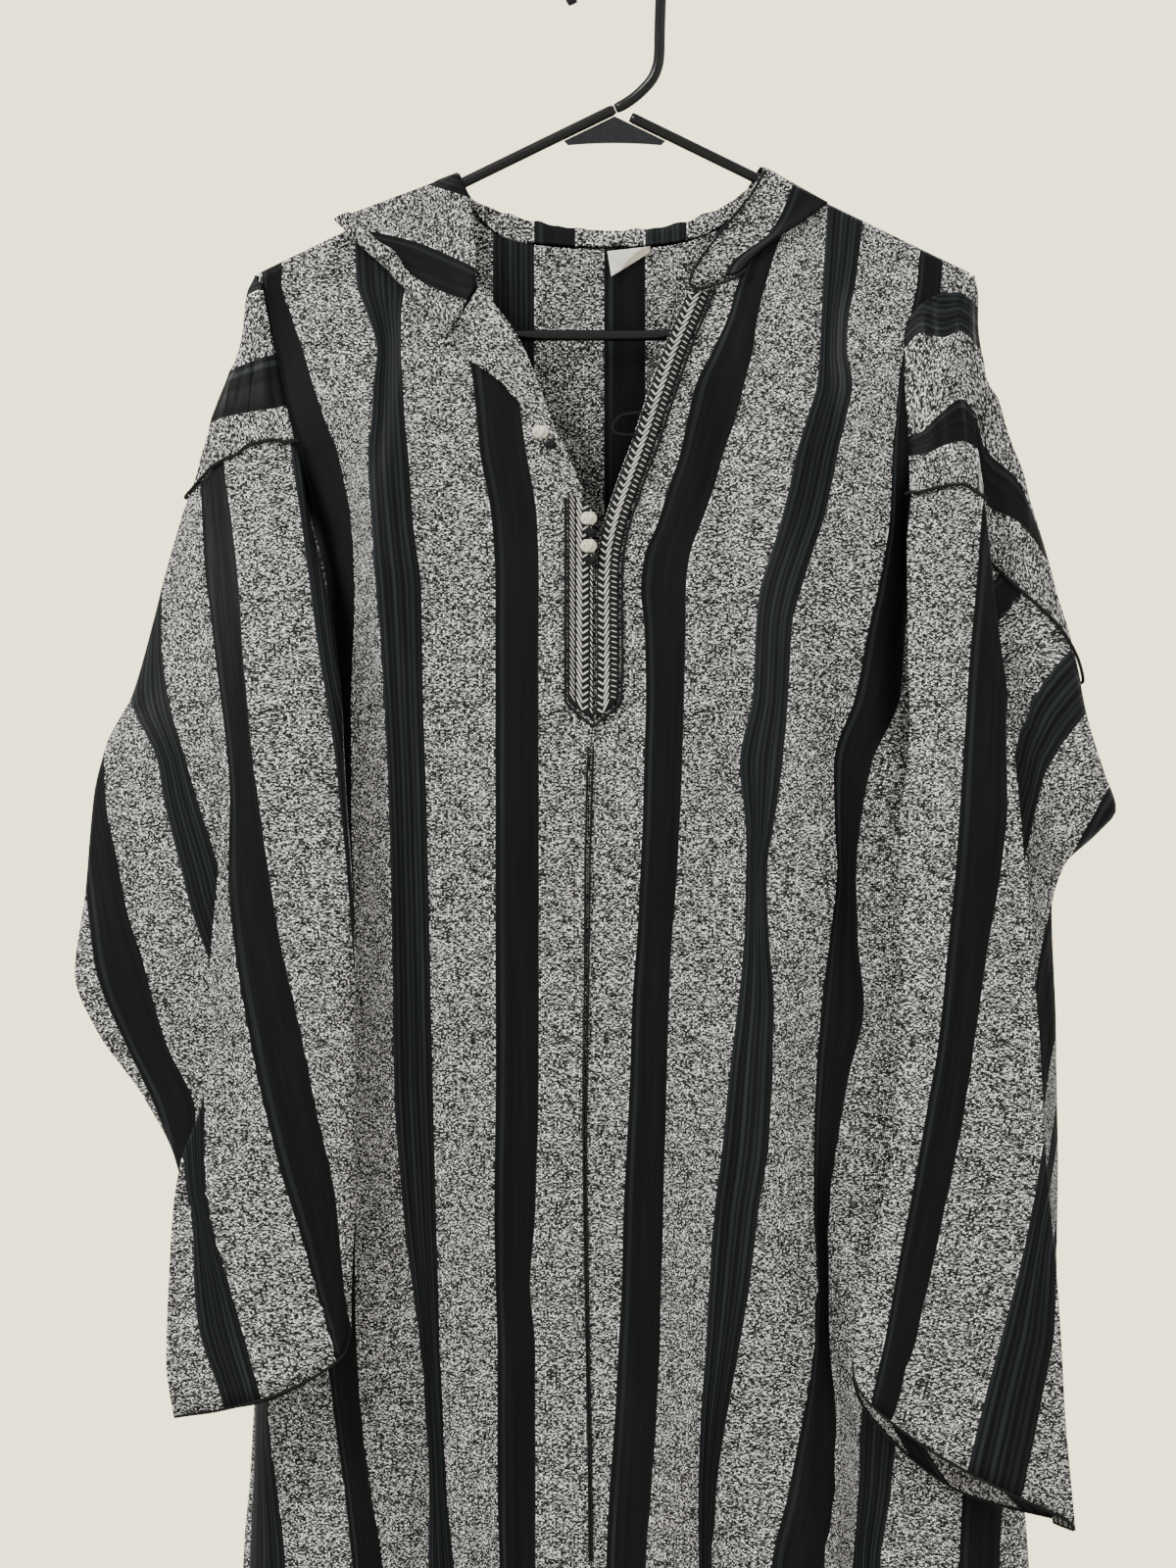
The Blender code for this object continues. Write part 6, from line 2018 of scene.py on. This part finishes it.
        path = [(-28.6, -326.0), (-28.6, -360.0), (-28.6, -400.0), (-28.6, -444.5), (-21.0, -451.6)]
        path += [(-12.4, -458.4), (-4.0, -451.6), (3.3, -444.5)]
        path += [(x + 1.8, z) for x, z in reversed(right_out[:-1])]
        line = evenly(np.array(path), 3.0)
        points = [(x, cloth.nearest(x, z, NO_CLOTH_Y) - 1.5, z) for x, z in line]
        self.build_cord("placket_cord", points, 0.95)
        self.build_centre_cord(cloth)

        dressed = Surface([*self.body.fronts, braid_l, braid_r, bpy.data.objects["lapel_l_cloth"]])
        for number, (x, z) in enumerate(((-43.0, -288.0), (-15.0, -338.0), (-15.0, -354.0)), 1):
            y = min(dressed.nearest(x + dx, z + dz, NO_CLOTH_Y) for dx in (-3, 0, 3) for dz in (-3, 0, 3))
            centre = np.array([x, y - 4.2, z])
            self.knot("button_%d" % number, centre, (4.5, 3.9, 4.5), WARDROBE.cream, 1.0)
        for number, (x, z) in enumerate(((-37.0, -295.6), (-13.6, -346.2), (-13.6, -362.6)), 1):
            y = min(dressed.nearest(x + dx, z + dz, NO_CLOTH_Y) for dx in (-3, 0, 3) for dz in (-2, 0, 2))
            centre = np.array([x, y - 2.6, z])
            self.knot("loop_knot_%d" % number, centre, (3.6, 2.3, 2.8), WARDROBE.black, 0.7)
        loop = [(19.4, -276.0), (6.0, -277.5), (0.8, -280.6), (-1.2, -285.2), (1.8, -288.8), (15.0, -289.6)]
        points = [(x, dressed.nearest(max(x, 17.6), z, -26.0) - (0.8 + GAP + 0.1), z) for x, z in loop]
        self.build_cord("button_loop", spline(points, 6), 0.8)

        neck = [(87.6, -134.6), (80.0, -148.0), (70.0, -160.5)]
        neck += [(58.0, -175.6), (48.6, -188.4), (43.4, -200.8)]
        under = [(50.0, -204.0), (60.0, -201.5), (70.0, -197.6), (76.5, -192.4)]
        points = [(x, float(body_y(x, z, True, FLAP_LIFT + 2.9)), z) for x, z in spline(neck + under, 6)]
        self.build_cord("neck_cord_r", points, 1.1)

    def build_centre_cord(self, cloth: Surface) -> None:
        """Lay the flat chain of cord down the centre seam, wide at its top and narrow below."""
        seam = evenly(np.array([p for p in self.body.inner_curve(Side.LEFT) if -945.0 < p[1] < -463.0]), 4.0)
        half = 3.0 - 1.4 * np.clip((-463.0 - seam[:, 1]) / 260.0, 0.0, 1.0)
        middle = np.array([(x + 0.2, cloth.nearest(x + 0.2, z, NO_CLOTH_Y) - 1.25, z) for x, z in seam])
        parts = []
        for sign in (-1.0, 1.0):
            path = middle.copy()
            path[:, 0] += sign * half * 0.5
            parts.append(twisted(path, 0.75, 3.4, Ply.TWO))
        piece = mesh_object("centre_cord_chain", *joined(parts))
        WARDROBE.dress(settle(piece, "centre_cord"), WARDROBE.black)


@dataclass
class Label:
    """The blank tape at the back of the neck."""

    body: Body
    width: float = 25.0
    drop: float = 14.8
    wall: float = 0.6

    def build(self) -> bpy.types.Object:
        """Make the tape, a little curled at its lower corner."""
        cloth = Surface([self.body.back])
        count = 15
        grid = np.empty((count, count, 3))
        weave = np.empty((count, count, 2))
        for r, f in enumerate(np.linspace(0.0, 1.0, count)):
            for c, g in enumerate(np.linspace(0.0, 1.0, count)):
                x = -4.2 + 2.3 * f * (1.0 - g) + self.width * g
                z = -180.2 + 2.6 * g - (self.drop * (1.0 - g) + 3.4 * g) * f
                y = cloth.nearest(x, z, 9.0) - 0.75 - 0.6 * f - 1.8 * f * f * math.exp(-5.0 * g)
                grid[r, c] = (x, y - 0.45 * math.sin(5.0 * g + 2.0 * f), z)
                weave[r, c] = (self.width * g, self.drop * (1.0 - f) - self.drop)
        grid[..., 1] -= 0.4
        piece = cloth_mesh("label_tape", grid, weave, wall=self.wall)
        WARDROBE.dress(settle(piece, "label"), WARDROBE.tape)
        return piece


@dataclass
class Hanger:
    """The tubular hanger: hook, arms, bar and web."""

    tube: float = TUBE
    hook_radius: float = 27.25
    sides: int = 28

    def arm_line(self, x: float) -> float:
        """Height of an arm's middle."""
        return APEX - SLOPE * abs(x)

    def add_tube(self, node: str, path: Sequence, smooth: int) -> None:
        """Make one length of tube with softened ends."""
        line = evenly(spline(path, smooth), 2.5)
        ends = np.minimum(np.arange(len(line)), np.arange(len(line))[::-1]) * 2.5
        radii = self.tube * np.where(ends < 1.0, 0.86, 1.0)
        piece = mesh_object(node + "_gloss", *tube_points(line, radii, self.sides, False))
        WARDROBE.dress(settle(piece, node), WARDROBE.gloss)

    def build(self) -> None:
        """Make every length of the hanger."""
        crown = self.tube - self.hook_radius
        angles = [math.radians(a) for a in np.linspace(208.0, 0.0, 20)]
        hook = [(self.hook_radius * math.cos(a), 0.0, crown + self.hook_radius * math.sin(a)) for a in angles]
        hook += [(26.8, 0.0, -36.0), (26.3, 0.0, -52.0), (26.0, 0.0, -66.0), (25.0, 0.0, -73.0)]
        hook += [(22.3, 0.0, -79.8), (17.6, 0.0, -85.6), (11.5, 0.0, -91.2)]
        hook += [(5.0, 0.0, -95.56), (0.5, 0.0, -97.76)]
        self.add_tube("hanger_hook", hook, 4)
        bend = [(198.0, -194.43), (203.3, -198.8), (205.7, -206.0), (205.2, -217.0), (201.0, -225.2)]
        bend += [(193.0, -229.7), (187.0, -229.9)]
        for side, start in ((Side.LEFT, 0.0), (Side.RIGHT, 9.4)):
            path = [(side.sign * x, 0.0, self.arm_line(x)) for x in (start, 50.0, 100.0, 150.0, 185.0)]
            path += [(side.sign * x, 0.0, z) for x, z in bend]
            self.add_tube("hanger_arm_" + side.value, path, 4)
        self.add_tube("hanger_bar", [(x, 0.0, -229.9) for x in (-186.6, -60.0, 60.0, 186.6)], 4)
        self.build_web()

    def build_web(self) -> None:
        """Make the thin plate under the apex, its lower edge a shallow arc."""
        drop = self.tube * math.hypot(1.0, SLOPE) + GAP + 0.1
        top = [(x, self.arm_line(x) - drop) for x in np.linspace(-30.0, 30.0, 25)]
        low = [(x, -119.2 + 1.3 * (1 - (x / 27.5) ** 2)) for x in np.linspace(27.5, -27.5, 25)]
        outline = np.array(top + low)
        centre = outline.mean(axis=0)
        layers = []
        for y, share in ((-1.0, 0.985), (-1.3, 0.955), (1.3, 0.955), (1.0, 0.985)):
            ring = centre + (outline - centre) * share
            layers.append(np.stack([ring[:, 0], np.full(len(ring), y), ring[:, 1]], axis=1))
        n = len(outline)
        points = np.concatenate([layers[1], layers[0], layers[3], layers[2]])
        faces: list = [tuple(reversed(range(n))), tuple(range(3 * n, 4 * n))]
        smooth = [False, False]
        for layer in range(3):
            for k in range(n):
                j = (k + 1) % n
                faces.append((layer * n + k, layer * n + j, (layer + 1) * n + j, (layer + 1) * n + k))
                smooth.append(False)
        piece = mesh_object("hanger_web_plate", points, faces, smooth)
        WARDROBE.dress(settle(piece, "hanger_web"), WARDROBE.web)


class Lamp(NamedTuple):
    """A soft square light: where it stands and its size in metres, and its power in watts."""

    name: str
    place: tuple[float, float, float]
    size: float
    power: float


LAMPS = (
    Lamp("key_light", (-1.7, -1.7, 1.4), 1.0, 150.0),
    Lamp("fill_light", (1.9, -1.7, 0.3), 1.6, 12.0),
    Lamp("back_light", (0.8, 2.2, 1.0), 1.4, 70.0),
)


@dataclass
class Studio:
    """Camera, lights and a plain pale floor."""

    middle_x: float = -15.5
    middle_z: float = -491.5
    distance: float = 3200.0
    view_height: float = 914.3
    sensor: float = 36.0
    floor_z: float = HEM - 25.0
    floor_half: float = 1300.0

    def build_camera(self) -> None:
        """Set the camera level with the photo's middle, upright frame."""
        data = bpy.data.cameras.new("camera")
        data.sensor_fit = "VERTICAL"
        data.sensor_height = self.sensor
        data.lens = self.sensor * self.distance / self.view_height
        data.clip_end = 30.0
        camera = bpy.data.objects.new("camera", data)
        camera.location = (self.middle_x * MM, -self.distance * MM, self.middle_z * MM)
        camera.rotation_euler = (math.radians(90.0), 0.0, 0.0)
        bpy.context.scene.collection.objects.link(camera)
        bpy.context.scene.camera = camera

    def add_light(self, lamp: Lamp) -> None:
        """Add one soft square light aimed at the chest."""
        data = bpy.data.lights.new(lamp.name, "AREA")
        data.size = lamp.size
        data.energy = lamp.power
        data.color = (1.0, 0.985, 0.955)
        light = bpy.data.objects.new(lamp.name, data)
        light.location = lamp.place
        aim = Vector((0.0, 0.0, -0.45)) - Vector(lamp.place)
        light.rotation_euler = aim.to_track_quat("-Z", "Y").to_euler()
        bpy.context.scene.collection.objects.link(light)

    def build_wall(self) -> bpy.types.World:
        """Make the light all round, seen by the camera as the warm white wall."""
        world = bpy.data.worlds.new("studio")
        world.use_nodes = True
        nodes = world.node_tree.nodes
        links = world.node_tree.links
        around = nodes["Background"]
        around.inputs["Color"].default_value = (0.90, 0.885, 0.84, 1.0)
        around.inputs["Strength"].default_value = 1.9
        wall = nodes.new("ShaderNodeBackground")
        wall.inputs["Color"].default_value = (1.0, 0.925, 0.60, 1.0)
        wall.inputs["Strength"].default_value = 2.9
        path = nodes.new("ShaderNodeLightPath")
        mix = nodes.new("ShaderNodeMixShader")
        links.new(path.outputs["Is Camera Ray"], mix.inputs[0])
        links.new(around.outputs[0], mix.inputs[1])
        links.new(wall.outputs[0], mix.inputs[2])
        links.new(mix.outputs[0], nodes["World Output"].inputs["Surface"])
        return world

    def build(self) -> None:
        """Make the whole studio."""
        self.build_camera()
        for lamp in LAMPS:
            self.add_light(lamp)
        bpy.context.scene.world = self.build_wall()
        half = self.floor_half
        square = ((-half, -half), (half, -half), (half, half), (-half, half))
        corners = np.array([(x, y, self.floor_z) for x, y in square])
        floor = mesh_object("studio_floor", corners, [(0, 1, 2, 3)])
        floor.data.materials.append(PlainPaint().build())


def main() -> None:
    """Build every sub-assembly in order."""
    logging.basicConfig(level=logging.INFO, format="%(name)s %(message)s")
    Hanger().build()
    body = Body()
    body.build()
    for side in Side:
        Arm(side).build()
    Hood(body).build()
    SlitTrims(body).build()
    Label(body).build()
    Studio().build()


if __name__ == "__main__":
    main()
